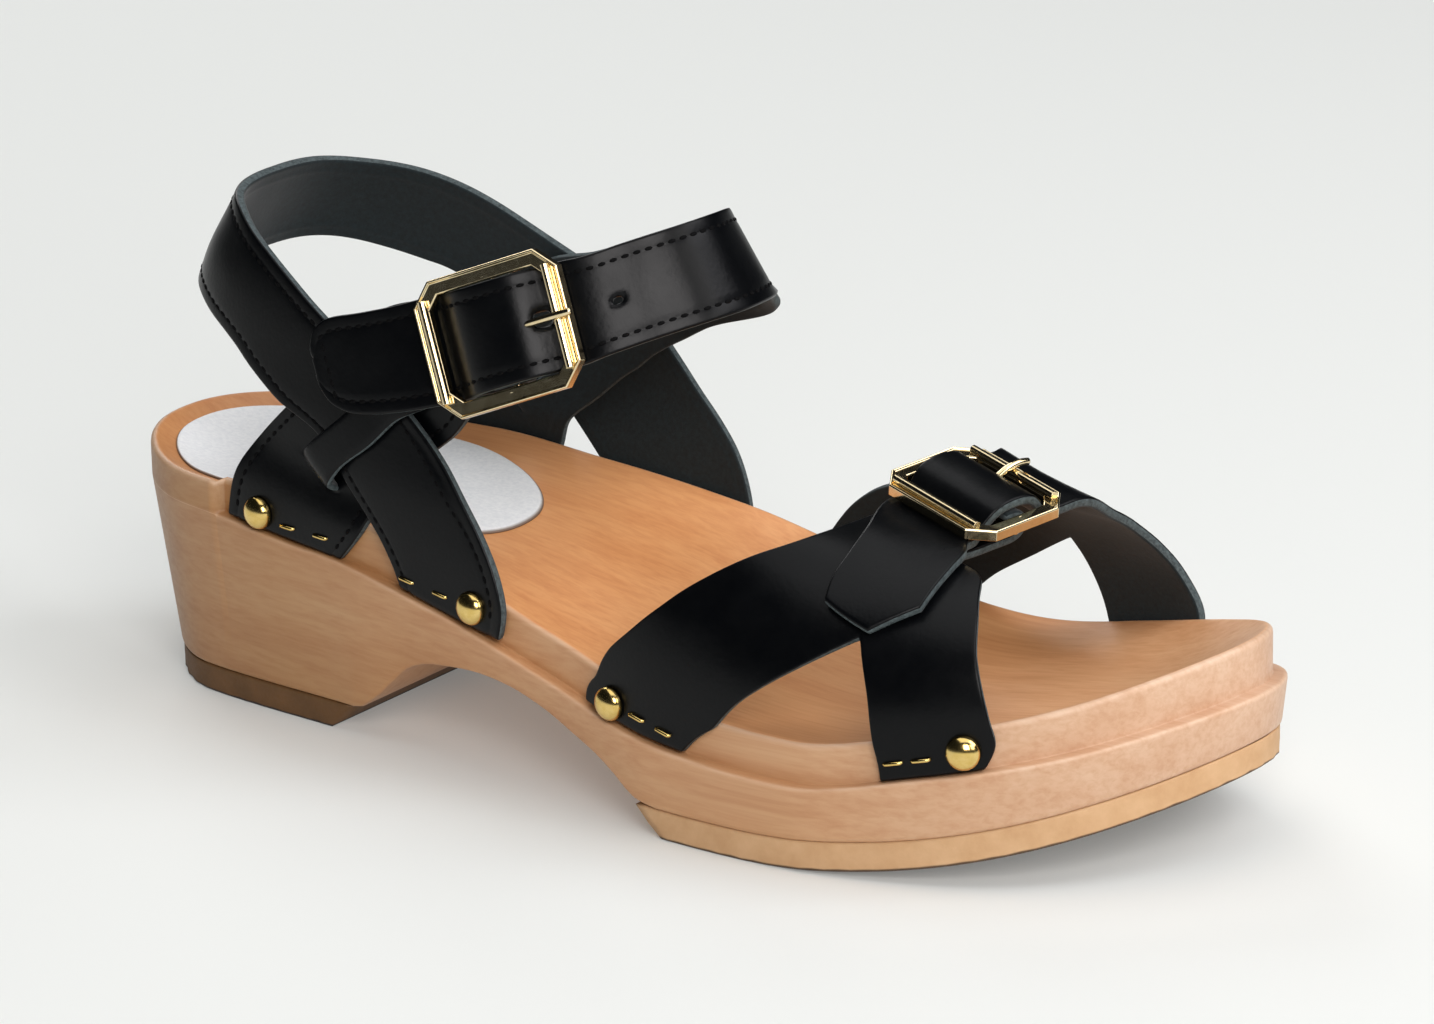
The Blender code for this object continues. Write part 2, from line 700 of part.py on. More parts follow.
def quarter_patches(rows, row_numbers, bridge):
    """Three lanes of a quarter strap; the middle one is raised between two slits."""
    patches = []
    for lane, columns in enumerate(QUARTER_LANE_COLUMNS):
        across = shares(QUARTER_LANES[lane], QUARTER_LANES[lane + 1], columns)
        patch = [[row(share) for share in across] for row in rows]
        if lane == BRIDGE_LANE:
            drawn_in = [SLIT] + [0.0] * (columns - 1) + [-SLIT]
            for line, row, number in zip(patch, rows, row_numbers):
                for k, share in enumerate(across):
                    raised = bridge_rise(bridge, number, share)
                    if raised > 0:
                        line[k] = row(share + drawn_in[k], raised)
        patches.append(patch)
    return patches


def leg_patches(legs):
    """Patches of the two legs of a front strap half."""
    rear, front = [], []
    for row in smooth_rows(legs, ROWS_BETWEEN):
        rear_x, rear_a, notch_rear_x, notch_rear_a, notch_front_x, notch_front_a, front_x, front_a = row[1:]
        rear.append(foot_row(rear_x, rear_a, notch_rear_x, notch_rear_a, 0.0))
        front.append(foot_row(notch_front_x, notch_front_a, front_x, front_a, 0.0))
    return [
        patch_of(rear, shares(0, 1, LEG_COLUMNS[0])),
        patch_of(front, shares(0, 1, LEG_COLUMNS[1])),
    ]


def body_shares():
    """Shares across a front strap half that meet the columns of its two legs."""
    return shares(0, 0.5, LEG_COLUMNS[0]) + shares(0.5, 1, LEG_COLUMNS[1])[1:]


def box_cutter(name, axes, along, out, width):
    """Hidden box in a buckle's axes, for cutting a slot."""
    bm = bmesh.new()
    bmesh.ops.create_cube(bm, size=1.0)
    for vert in bm.verts:
        share = vert.co + Vector((0.5, 0.5, 0.5))
        vert.co = on_seat(
            axes, mix(*along, share.x), width * vert.co.y, mix(*out, share.z))
    face_out(bm)
    cutter = finished(name, bm, "black_leather")
    cutter.hide_render = True
    cutter.display_type = "WIRE"
    return cutter


def cut(target, cutter):
    """Slot cut in a strap by a hidden cutter."""
    slot = target.modifiers.new(cutter.name, "BOOLEAN")
    slot.operation = "DIFFERENCE"
    slot.solver = "EXACT"
    slot.object = cutter


def buckle(name, axes, long, wide):
    """Cut-cornered frame with a round centre bar across it."""
    bm = bmesh.new()
    half = ROD / 2
    flat = half - ROD_CHAMFER
    section = [
        (half, -flat), (half, flat), (flat, half), (-flat, half),
        (-half, flat), (-half, -flat), (-flat, -half), (flat, -half),
    ]
    rings = []
    for spread, height in section:
        a = long / 2 - half + spread
        w = wide / 2 - half + spread
        c = CORNER_CUT + spread * (2 - math.sqrt(2))
        quarter = [(a, w - c), (a - c, w), (c - a, w), (-a, w - c)]
        corners = quarter + [(-s, -v) for s, v in quarter]
        rings.append([bm.verts.new(on_seat(axes, s, v, FRAME_LIFT + height)) for s, v in corners])
    for ring, following in zip(rings, rings[1:] + rings[:1]):
        for i in range(len(ring)):
            j = (i + 1) % len(ring)
            bm.faces.new((ring[i], ring[j], following[j], following[i]))
    face_out(bm)
    frame = finished(name, bm, "pale_brass")
    bar = bar_cutter(name + "_bar", axes, wide)
    joined = frame.modifiers.new("centre bar", "BOOLEAN")
    joined.operation = "UNION"
    joined.solver = "EXACT"
    joined.object = bar
    return frame


def tube(bm, path, radius, sides, side_way):
    """Round bar along a path that lies flat across the given way."""
    rings = []
    for i, point in enumerate(path):
        before, after = path[max(i - 1, 0)], path[min(i + 1, len(path) - 1)]
        lift_way = (after - before).normalized().cross(side_way).normalized()
        turns = [2 * math.pi * k / sides for k in range(sides)]
        rings.append([
            bm.verts.new(point + (side_way * math.cos(t) + lift_way * math.sin(t)) * radius) for t in turns])
    for ring, following in zip(rings, rings[1:]):
        for i in range(sides):
            j = (i + 1) % sides
            bm.faces.new((ring[i], ring[j], following[j], following[i]))
    bm.faces.new(rings[0])
    bm.faces.new(rings[-1])
    face_out(bm)


def bar_cutter(name, axes, wide):
    """Hidden centre bar, dropped at its ends so that it joins the frame's sides."""
    bm = bmesh.new()
    end = wide / 2 - ROD / 2
    knee = end - BAR_KNEE
    path = [
        on_seat(axes, 0.0, -end, FRAME_LIFT), on_seat(axes, 0.0, -knee, BAR_LIFT),
        on_seat(axes, 0.0, knee, BAR_LIFT), on_seat(axes, 0.0, end, FRAME_LIFT),
    ]
    tube(bm, path, BAR_RADIUS, BAR_SIDES, axes[1])
    bar = finished(name, bm, "pale_brass")
    bar.hide_render = True
    bar.display_type = "WIRE"
    return bar


def prong(name, axes, shank):
    """Prong with an open eye round the bar and a shank that rests on the frame."""
    path = []
    for step in range(EYE_STEPS + 1):
        turn = math.radians(mix(EYE_START, 90.0, step / EYE_STEPS))
        path.append((-EYE_RADIUS * math.cos(turn), BAR_LIFT + EYE_RADIUS * math.sin(turn)))
    path += shank
    bm = bmesh.new()
    tube(bm, [on_seat(axes, along, 0.0, out) for along, out in path], PRONG_RADIUS, PRONG_SIDES, axes[2])
    return finished(name, bm, "pale_brass")


def nail(name, seat, way):
    """Domed nail head with a flat back."""
    bm = bmesh.new()
    bmesh.ops.create_uvsphere(bm, u_segments=NAIL_SEGMENTS, v_segments=NAIL_RINGS, radius=1.0)
    whole = bm.verts[:] + bm.edges[:] + bm.faces[:]
    bmesh.ops.bisect_plane(
        bm, geom=whole, dist=WELD, plane_co=(0, 0, 0), plane_no=(0, 0, 1), clear_inner=True)
    rim_edges = [item for item in bm.edges if item.is_boundary]
    bmesh.ops.edgeloop_fill(bm, edges=rim_edges)
    bmesh.ops.scale(bm, vec=(NAIL_WIDTH / 2, NAIL_WIDTH / 2, NAIL_HEIGHT), verts=bm.verts)
    turn = way.to_track_quat("Z", "Y").to_matrix().to_4x4()
    bmesh.ops.transform(bm, matrix=Matrix.Translation(seat) @ turn, verts=bm.verts)
    face_out(bm)
    return finished(name, bm, "pale_brass")


# Pieces
def make_sole():
    stations = sole_stations()
    rings = [around(stations, sole_ring(level)) for level in (
        "underside", "wall foot", "ledge edge", "ledge top", "ledge root", "wall top")]
    for share in (1.0, *FOOTBED_RINGS):
        rings.append(around(stations, lambda station, side: footbed(station, side, share)))
    ring_solid("sole", rings, "oiled_wood")


def slip_ring(height, slant):
    """Ring of a rubber slip at a height; slant moves each station along the sole."""
    def at(station, side):
        moved = slant(station)
        x, y = outline(moved, side, read(DRAFT, "inset", moved) + SLIP_INSET)
        return Vector((x, y, height + toe_spring(moved)))
    return at


def make_slips():
    def upright(station):
        return station

    def outsole_slant(station):
        share = (station - OUTSOLE_TOP_START) / (SOLE_LENGTH - OUTSOLE_TOP_START)
        return mix(OUTSOLE_BOTTOM_START, SOLE_LENGTH, share)

    def lift_slant(station):
        return station * LIFT_BOTTOM_END / LIFT_TOP_END

    stations = [OUTSOLE_TOP_START] + [x for x in sole_stations() if x > OUTSOLE_TOP_START + SLIP_CLEAR]
    rings = [
        around(stations, slip_ring(0.0, outsole_slant), heel_tip=False),
        around(stations, slip_ring(OUTSOLE_THICK, upright), heel_tip=False),
    ]
    ring_solid("outsole", rings, "tan_rubber", starts_at_tip=False)
    stations = [x for x in sole_stations() if x < LIFT_TOP_END - SLIP_CLEAR] + [LIFT_TOP_END]
    rings = [
        around(stations, slip_ring(0.0, lift_slant), toe_tip=False),
        around(stations, slip_ring(LIFT_THICK, upright), toe_tip=False),
    ]
    ring_solid("heel_lift", rings, "tan_rubber")


def make_sock():
    def at(share, rise):
        def place(station, side):
            station = min(station, SOCK_END)
            round_end = max(0.0, (station - SOCK_END + SOCK_END_ROUND) / SOCK_END_ROUND)
            width = (1 - round_end ** SOCK_END_POWER) ** (1 / SOCK_END_POWER)
            if round_end:
                station = mix(SOCK_END - SOCK_END_ROUND, station, share)
            if side == 0 and round_end:
                width = 0.0
            return footbed(station, side, SOCK_EDGE * share * width) + Vector((0.0, 0.0, rise))
        return place

    body = [x for x in sole_stations() if x < SOCK_END - SOCK_END_ROUND]
    for step in range(SOCK_END_STATIONS):
        turn = math.pi / 2 * step / SOCK_END_STATIONS
        body.append(SOCK_END - SOCK_END_ROUND * (1 - math.sin(turn)))
    stations = body
    low = [around(stations, at(share, SOCK_GAP)) for share in SOCK_RINGS]
    high = [around(stations, at(share, SOCK_GAP + SOCK_THICK)) for share in reversed(SOCK_RINGS)]
    ring_solid("heel_sock", low + high, "pale_sock")


def make_heel_strap():
    rows = [ankle_row(*row[1:]) for row in smooth_rows(HEEL_STRAP, HEEL_ROWS_BETWEEN)]
    leather("heel_strap", [patch_of(rows, shares(0, 1, HEEL_STRAP_COLUMNS))], LEATHER)


def make_quarters():
    lateral = smooth_rows(QUARTER_LATERAL, ROWS_BETWEEN)
    rows = [ankle_row(*row[1:]) for row in lateral]
    tuck = tuck_rows(ANKLE_AXES, ANKLE_STRAP_WIDTH, ANKLE_TUCK, ANKLE_FOLD_CENTRE, ANKLE_FOLD_BACK)
    numbers = [row[0] for row in lateral] + [math.inf] * len(tuck)
    strap = leather("quarter_lateral", quarter_patches(rows + tuck, numbers, BRIDGE_LATERAL), TUCKED_LEATHER)
    cut(strap, box_cutter("ankle_bar_slot", ANKLE_AXES, BAR_SLOT[:2], CUTTER_DEPTH, BAR_SLOT[2]))

    medial = smooth_rows(QUARTER_MEDIAL, ROWS_BETWEEN)
    rows = [ankle_row(*row[1:]) for row in medial]
    nose = [point_row(*row) for row in rows_of(INSTEP)]
    nose += [seat_row(ANKLE_AXES, *row[1:]) for row in smooth_rows(ANKLE_THREAD, THREAD_ROWS_BETWEEN)]
    numbers = [row[0] for row in medial] + [math.inf] * len(nose)
    strap = leather("quarter_medial", quarter_patches(rows + nose, numbers, BRIDGE_MEDIAL), LEATHER)
    cut(strap, box_cutter("ankle_prong_hole", ANKLE_AXES, PRONG_HOLE[:2], CUTTER_DEPTH, PRONG_HOLE[2]))


def make_front_straps():
    rows = [bent_foot_row(*row[1:]) for row in smooth_rows(FRONT_LATERAL_BODY, ROWS_BETWEEN)]
    rows += tuck_rows(FRONT_AXES, FRONT_STRAP_WIDTH, FRONT_TUCK, FRONT_FOLD_CENTRE, FRONT_FOLD_BACK)
    patches = leg_patches(FRONT_LATERAL_LEGS) + [patch_of(rows, body_shares())]
    strap = leather("front_strap_lateral", patches, TUCKED_LEATHER)
    cut(strap, box_cutter("front_bar_slot", FRONT_AXES, BAR_SLOT[:2], CUTTER_DEPTH, BAR_SLOT[2]))

    rows = [bent_foot_row(*row[1:]) for row in smooth_rows(FRONT_MEDIAL_BODY, ROWS_BETWEEN)]
    rows += [seat_row(FRONT_AXES, *row[1:]) for row in smooth_rows(FRONT_THREAD, THREAD_ROWS_BETWEEN)]
    rows += [bent_foot_row(*row[1:]) for row in smooth_rows(FRONT_TIP, THREAD_ROWS_BETWEEN)]
    patches = leg_patches(FRONT_MEDIAL_LEGS) + [patch_of(rows, body_shares())]
    strap = leather("front_strap_medial", patches, LEATHER)
    cut(strap, box_cutter("front_prong_hole", FRONT_AXES, PRONG_HOLE[:2], CUTTER_DEPTH, PRONG_HOLE[2]))


def make_metal():
    buckle("ankle_buckle", ANKLE_AXES, ANKLE_FRAME_ALONG, ANKLE_FRAME_ACROSS)
    prong("ankle_prong", ANKLE_AXES, list(ANKLE_PRONG))
    buckle("front_buckle", FRONT_AXES, FRONT_FRAME_ALONG, FRONT_FRAME_ACROSS)
    prong("front_prong", FRONT_AXES, list(FRONT_PRONG))
    for name, turn, z in QUARTER_NAILS:
        nail(name, on_ankle(turn, z, LEATHER + NAIL_GAP), outward(ankle_point, turn, z))
    for name, x, angle in FRONT_NAILS:
        nail(name, on_foot(x, angle, LEATHER + NAIL_GAP), outward(foot_point, x, angle))


def make_materials():
    """Principled material of each finish."""
    made = {}
    for name, (colour, roughness, metallic) in FINISHES.items():
        material = bpy.data.materials.new(name)
        material.use_nodes = True
        shader = material.node_tree.nodes["Principled BSDF"]
        shader.inputs["Base Color"].default_value = (*colour, 1.0)
        shader.inputs["Roughness"].default_value = roughness
        shader.inputs["Metallic"].default_value = metallic
        made[name] = material
    return made


for old in list(bpy.data.objects):
    bpy.data.objects.remove(old, do_unlink=True)

MIDDLE_X = SOLE_LENGTH / 2
SIDES = [outline(x, side, 0.0)[1] for x in sole_stations() for side in (LATERAL, MEDIAL)]
MIDDLE_Y = (min(SIDES) + max(SIDES)) / 2
MATERIALS = make_materials()

make_sole()
make_slips()
make_sock()
make_heel_strap()
make_quarters()
make_front_straps()
make_metal()
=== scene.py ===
"""Looks of a clog sandal, right shoe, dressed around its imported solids."""

import math

import bmesh
import bpy
from mathutils import Matrix, Vector


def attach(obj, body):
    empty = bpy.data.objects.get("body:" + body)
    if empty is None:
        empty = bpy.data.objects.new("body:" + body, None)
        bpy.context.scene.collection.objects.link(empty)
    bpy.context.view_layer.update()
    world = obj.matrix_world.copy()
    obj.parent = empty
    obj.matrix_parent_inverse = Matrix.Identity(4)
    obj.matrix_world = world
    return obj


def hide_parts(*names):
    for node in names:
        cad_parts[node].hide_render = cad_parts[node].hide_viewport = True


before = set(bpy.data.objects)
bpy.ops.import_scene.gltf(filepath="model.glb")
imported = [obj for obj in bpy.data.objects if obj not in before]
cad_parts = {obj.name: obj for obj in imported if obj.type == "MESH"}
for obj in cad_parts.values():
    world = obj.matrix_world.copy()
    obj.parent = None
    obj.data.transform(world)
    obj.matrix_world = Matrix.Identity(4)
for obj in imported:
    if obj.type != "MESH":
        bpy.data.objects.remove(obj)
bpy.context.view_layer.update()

# Sizes are millimetres: x runs from the heel back to the toe, y to the inner side of the foot, z up.
MM = 0.001
GAP = 0.3
LATERAL = -1
MEDIAL = 1


def table(columns, *rows):
    """Named columns of a table with one row per section."""
    return dict(zip(columns.split(), zip(*rows)))


# Wooden sole
SOLE_LENGTH = 250.0
HEEL_ROUND = 24.5
HEEL_POWER = 2.22
TOE_ROUND = 53.0
TOE_POWER = 1.86
SOLE = table(
    "x axis half rim_lateral rim_medial band dish",
    (0, 6.7, 22.9, 48.3, 48.3, 7.5, 4.0),
    (30, 3.8, 29.8, 46.4, 46.6, 6.5, 4.5),
    (60, 2.1, 32.2, 46.0, 46.6, 8.8, 4.0),
    (90, 0.2, 33.9, 40.8, 44.2, 8.6, 3.0),
    (120, 0.0, 37.7, 32.4, 38.8, 7.8, 2.5),
    (150, 0.0, 44.0, 26.0, 28.8, 7.8, 2.0),
    (180, 1.2, 46.4, 24.1, 23.6, 7.6, 2.0),
    (205, 3.1, 43.6, 28.3, 27.6, 7.7, 3.5),
    (228, 5.3, 42.9, 33.5, 33.4, 8.2, 5.0),
    (250, 9.6, 42.5, 40.5, 40.5, 9.1, 4.0),
)
STRAP_STEP = 2.9
STRAP_STEP_START = 34.6
RIM_ROUND = 1.2
SPINE_HEEL = 24.0
SPINE_TOE = 214.0
DISH_POWER = 3.5
DRAFT = table("x inset", (0, 4.4), (62, 4.4), (100, 1.5), (150, 0.5), (250, 1.2))
UNDERSIDE = table(
    "x z",
    (0, 5.6), (67, 5.6), (72.6, 8.8), (78.7, 14.1), (83.5, 17.8), (90, 19.8), (102, 20.9),
    (110, 20.3), (119, 18.2), (128, 14.9), (134, 12.7), (139.5, 9.8), (144.5, 6.6), (148, 5.9),
)

# Rubber slips under the sole
SLIP_INSET = 0.3
SLIP_CLEAR = 1.0
OUTSOLE_THICK = 5.4
OUTSOLE_TOP_START = 145.0
OUTSOLE_BOTTOM_START = 151.0
TOE_SPRING = 16.2
TOE_SPRING_START = 169.0
LIFT_THICK = 5.3
LIFT_TOP_END = 66.0
LIFT_BOTTOM_END = 60.0

# Heel sock
SOCK_EDGE = 0.83
SOCK_END = 90.0
SOCK_END_ROUND = 48.0
SOCK_END_POWER = 2.2

# Last of the ankle: one loop per height, from its back to its front
ANKLE = table(
    "z back front half middle",
    (35, 4.0, 206.0, 32.5, 2.0),
    (50, 5.5, 192.0, 32.5, 2.5),
    (62, 6.5, 179.0, 32.0, 3.0),
    (77, 9.0, 164.0, 31.0, 3.5),
    (88, 13.5, 140.6, 29.0, 3.5),
    (98, 19.5, 132.0, 26.5, 3.5),
    (110, 26.0, 122.0, 23.5, 3.5),
)
ANKLE_POWER = 2.4
HEEL_DRAWN_IN = 8.5
HEEL_DRAWN_POWER = 3
WALL_BLEND = 28.0
WALL_HOLD = 2.0
WALL_HEEL_END = 15.0
WALL_TOE_END = 150.0
WALL_FADE = 15.0

# Last of the forefoot: one arch per station, its crown measured above the rim
FOOT = table(
    "x crown",
    (120, 60.0), (150, 46.5), (170, 38.5), (193, 30.0), (210, 24.5), (225, 20.0), (240, 16.0),
)
ARCH_WIDTH_POWER = 0.80
ARCH_HEIGHT_POWER = 0.85
WALL_MM_PER_DEGREE = 0.4

# Leather straps
LEATHER = 2.0
TUCKED_LEATHER = 1.8
INSIDE = Vector((115.0, 2.0, 45.0))
FEEL = 0.5
WELD = 0.003
ROWS_BETWEEN = 3
HEEL_ROWS_BETWEEN = 2

# Heel strap by its rear or lower edge and its front or upper edge, with its height off the last
HEEL_STRAP = table(
    "rear_turn rear_z front_turn front_z lift",
    (-81.3, 34.4, -91.2, 28.9, 0.0),
    (-80.3, 43.2, -92.0, 41.0, 0.35),
    (-77.2, 54.0, -91.0, 54.0, 0.9),
    (-74.0, 61.9, -89.2, 66.5, 0.8),
    (-67.6, 65.9, -84.0, 77.5, 0.8),
    (-60.1, 71.8, -78.6, 86.0, 0.6),
    (-53.3, 76.3, -67.4, 93.0, 0.3),
    (-38.0, 81.0, -45.0, 99.6, 0.0),
    (-20.0, 82.3, -22.0, 101.2, 0.0),
    (0.0, 82.6, 0.0, 101.5, 0.0),
    (22.4, 83.6, 20.0, 101.2, 0.0),
    (38.0, 83.0, 42.0, 99.8, 0.0),
    (50.0, 81.0, 60.0, 98.0, 0.3),
    (60.0, 78.4, 73.4, 94.4, 0.6),
    (66.0, 76.0, 83.6, 88.6, 0.9),
    (72.0, 70.0, 89.0, 82.0, 0.9),
    (77.0, 61.0, 93.0, 71.0, 0.9),
    (80.0, 53.0, 95.5, 60.0, 0.9),
    (82.7, 46.0, 97.0, 49.0, 0.1),
    (84.8, 37.0, 95.4, 33.6, 0.0),
)

# Quarter straps; the bridge between two slits of each holds the heel strap
QUARTER_LANES = (0.0, 0.42, 0.75, 1.0)
BRIDGE_LANE = 1
BRIDGE_LIFT = 5.0
BRIDGE_SLANT = 1.6
BRIDGE_MIDDLE = 0.6
QUARTER_LATERAL = table(
    "rear_turn rear_z front_turn front_z lift",
    (-50.4, 40.0, -72.6, 36.9, 0.0),
    (-53.2, 49.0, -76.6, 42.8, 0.0),
    (-59.1, 56.9, -79.4, 48.6, -1.7),
    (-66.7, 64.5, -82.0, 53.4, -1.8),
    (-74.9, 73.0, -86.6, 57.8, -1.8),
    (-82.6, 81.0, -90.1, 63.5, -1.7),
    (-91.6, 88.5, -94.2, 70.0, -0.6),
)
BRIDGE_LATERAL = (2.1, 2.6, 5.24, 5.8)
QUARTER_MEDIAL = table(
    "rear_turn rear_z front_turn front_z lift",
    (50.9, 40.2, 76.0, 38.4, 0.0),
    (53.8, 49.0, 78.4, 45.3, 0.0),
    (59.1, 56.8, 81.0, 50.8, -1.7),
    (66.8, 65.0, 85.3, 55.8, -1.8),
    (74.9, 73.5, 89.3, 61.2, -1.8),
    (83.4, 81.5, 92.4, 66.0, -1.8),
    (92.3, 85.4, 97.8, 70.6, -1.5),
    (104.0, 89.6, 105.6, 75.0, -0.5),
    (122.0, 94.4, 125.0, 80.8, -0.3),
    (140.0, 98.6, 142.0, 85.4, -0.7),
    (158.0, 102.3, 161.0, 87.9, 0.2),
)
BRIDGE_MEDIAL = (2.0, 2.55, 5.9, 6.5)

# Nose of the instep strap, from the medial quarter to the ankle buckle, by its two edges
INSTEP = table(
    "rear_x rear_y rear_z front_x front_y front_z",
    (131.3, 8.6, 105.6, 141.8, 8.6, 89.7),
    (134.0, 2.4, 107.0, 143.7, 2.2, 90.5),
    (135.0, -3.0, 107.6, 144.0, -4.2, 90.7),
    (133.9, -8.0, 107.3, 142.3, -10.0, 90.3),
    (130.6, -12.8, 106.2, 137.9, -15.3, 88.8),
    (126.0, -17.0, 104.5, 133.2, -19.6, 87.0),
    (120.6, -21.8, 102.4, 128.1, -24.5, 84.9),
)

# Front strap halves: rear leg and front leg by their edges, then the body where they have joined
FRONT_LATERAL_LEGS = table(
    "rear_x rear_angle notch_rear_x notch_rear_angle notch_front_x notch_front_angle front_x front_angle",
    (132.2, -106.8, 156.6, -108.0, 197.8, -108.4, 215.8, -108.4),
    (132.9, -98.0, 160.3, -98.0, 197.2, -98.0, 217.6, -98.0),
    (136.6, -88.0, 166.2, -88.0, 196.0, -86.0, 216.4, -86.0),
    (143.9, -79.0, 176.9, -75.0, 194.6, -74.0, 214.7, -73.0),
    (150.7, -70.0, 191.0, -56.8, 191.0, -56.8, 212.6, -60.0),
)
FRONT_LATERAL_BODY = table(
    "rear_x rear_angle middle_x middle_angle front_x front_angle lift",
    (150.7, -70.0, 191.0, -56.8, 212.6, -60.0, 0.0),
    (159.9, -56.0, 191.0, -49.0, 210.2, -45.0, 0.0),
    (170.4, -38.0, 192.0, -32.0, 206.0, -27.0, 0.0),
)
FRONT_MEDIAL_LEGS = table(
    "rear_x rear_angle notch_rear_x notch_rear_angle notch_front_x notch_front_angle front_x front_angle",
    (130.0, 106.5, 155.0, 107.0, 196.8, 107.5, 216.5, 108.0),
    (131.0, 98.0, 160.0, 98.0, 195.5, 98.0, 216.5, 98.0),
    (136.0, 88.0, 166.0, 88.0, 194.0, 88.0, 216.5, 88.0),
    (145.0, 76.0, 178.0, 74.0, 191.5, 75.0, 213.6, 75.0),
    (156.6, 65.5, 188.8, 59.7, 188.8, 59.7, 210.6, 60.0),
)
FRONT_MEDIAL_BODY = table(
    "rear_x rear_angle middle_x middle_angle front_x front_angle lift",
    (156.6, 65.5, 188.8, 59.7, 210.6, 60.0, 0.0),
    (163.0, 55.0, 190.0, 47.0, 208.0, 45.0, 0.4),
    (171.0, 38.0, 191.0, 32.0, 206.8, 30.0, 1.4),
)
FRONT_TIP = table(
    "rear_x rear_angle middle_x middle_angle front_x front_angle lift",
    (181.4, -25.0, 191.2, -24.4, 201.0, -22.0, 2.4),
    (182.0, -34.0, 191.6, -35.0, 201.1, -31.0, 2.4),
    (182.0, -42.0, 192.3, -46.0, 200.9, -39.5, 2.4),
    (182.9, -49.6, 193.2, -56.6, 200.6, -46.8, 2.4),
)

# Buckles: seat on the last, way of the strap, way out of the leather, and frame sizes
ANKLE_SEAT = Vector((107.4, -25.3, 86.8))
ANKLE_ALONG = Vector((0.918, 0.177, 0.355))
ANKLE_OUT = Vector((0.109, -0.973, 0.203))
ANKLE_FRAME_ALONG = 32.0
ANKLE_FRAME_ACROSS = 26.7
ANKLE_STRAP_WIDTH = 20.0
FRONT_SEAT = Vector((191.4, 1.8, 56.3))
FRONT_ALONG = Vector((0.279, 0.956, 0.089))
FRONT_OUT = Vector((0.153, -0.136, 0.979))
FRONT_FRAME_ALONG = 23.6
FRONT_FRAME_ACROSS = 29.4
FRONT_STRAP_WIDTH = 21.5
ROD = 2.8
CORNER_CUT = 3.4
FRAME_LIFT = 6.1
BAR_RADIUS = 1.0
BAR_LIFT = 3.3
BAR_KNEE = 1.6
BAR_SIDES = 16

# Fold of the tucked strap end round the buckle bar
FOLD_RADIUS = 3.3
FOLD_STEPS = 6
ANKLE_FOLD_BACK = -4.0
FRONT_FOLD_BACK = -2.0
FOLD_CENTRE = 0.5

# Way of the free strap through each buckle, in the buckle's axes
THREAD_ROWS_BETWEEN = 2
ANKLE_THREAD = table(
    "along rear front out",
    (14.6, -10.0, 10.0, 2.1),
    (12.4, -10.0, 10.0, 2.2),
    (10.2, -10.0, 10.0, 3.0),
    (7.6, -10.0, 10.0, 5.2),
    (5.0, -10.0, 10.0, 6.8),
    (2.0, -10.0, 10.0, 7.3),
    (-2.0, -10.0, 10.0, 7.3),
    (-5.0, -10.1, 10.0, 6.7),
    (-7.6, -10.2, 10.0, 5.0),
    (-10.2, -10.5, 10.0, 2.9),
    (-12.4, -10.8, 9.9, 2.2),
    (-14.6, -10.9, 9.8, 2.2),
    (-22.0, -11.1, 9.1, 3.3),
    (-30.0, -11.9, 7.8, 3.4),
    (-36.0, -12.6, 6.0, 3.0),
    (-40.0, -10.8, 2.6, 2.6),
    (-41.6, -7.0, -2.0, 2.5),
)
FRONT_THREAD = table(
    "along rear front out",
    (16.0, -12.6, 10.8, 2.1),
    (10.4, -11.0, 10.75, 2.1),
    (8.4, -10.3, 10.3, 2.2),
    (6.4, -10.3, 10.3, 4.0),
    (4.4, -10.75, 10.75, 6.6),
    (1.8, -10.75, 10.75, 7.3),
    (-1.0, -10.75, 10.75, 7.3),
    (-3.4, -10.75, 10.75, 6.8),
    (-5.4, -10.3, 10.3, 4.9),
    (-7.4, -10.3, 10.3, 2.8),
    (-9.0, -10.75, 10.75, 2.2),
    (-10.4, -10.75, 10.75, 2.1),
)
ANKLE_TUCK = (-12.0, -6.0)
FRONT_TUCK = (-14.0, -8.0, -3.0)

# Prongs: along and height off the seat, after the eye round the bar
PRONG_RADIUS = 0.7
PRONG_SIDES = 14
EYE_RADIUS = 2.0
EYE_START = -150.0
EYE_END = 90.0
EYE_STEPS = 14
PRONG_ROWS_BETWEEN = 4
ANKLE_PRONG = ((4.5, 6.3), (9.5, 8.1), (14.6, 8.7), (17.4, 8.3))
FRONT_PRONG = ((3.6, 6.3), (7.0, 8.1), (10.4, 8.7), (13.0, 8.3))

# Holes in the leather, in the buckle's axes: along, half across, and out
PRONG_HOLE = ((7.2, 9.8), 1.4, (-1.0, 13.0))
SPARE_HOLE = ((21.7, 23.2), 1.0, (-6.0, 6.0))
BAR_SLOT = ((-3.6, 8.0), 1.6, (-1.0, 13.0))

# Domed nails: place on the last of the ankle or of the forefoot
NAIL_WIDTH = 6.6
NAIL_HEIGHT = 2.2
NAIL_GAP = 0.4
NAIL_SEGMENTS = 32
NAIL_RINGS = 20
NAIL_SKIRT = 0.45
QUARTER_NAILS = (
    ("nail_quarter_lateral_rear", -58.6, 42.4),
    ("nail_quarter_lateral_front", -89.4, 34.4),
    ("nail_quarter_medial_rear", 57.0, 44.0),
    ("nail_quarter_medial_front", 92.0, 40.4),
)
FRONT_NAILS = (
    ("nail_front_lateral_rear", 139.6, -98.8),
    ("nail_front_lateral_front", 212.4, -98.0),
    ("nail_front_medial_rear", 139.0, 98.6),
    ("nail_front_medial_front", 210.9, 97.0),
)


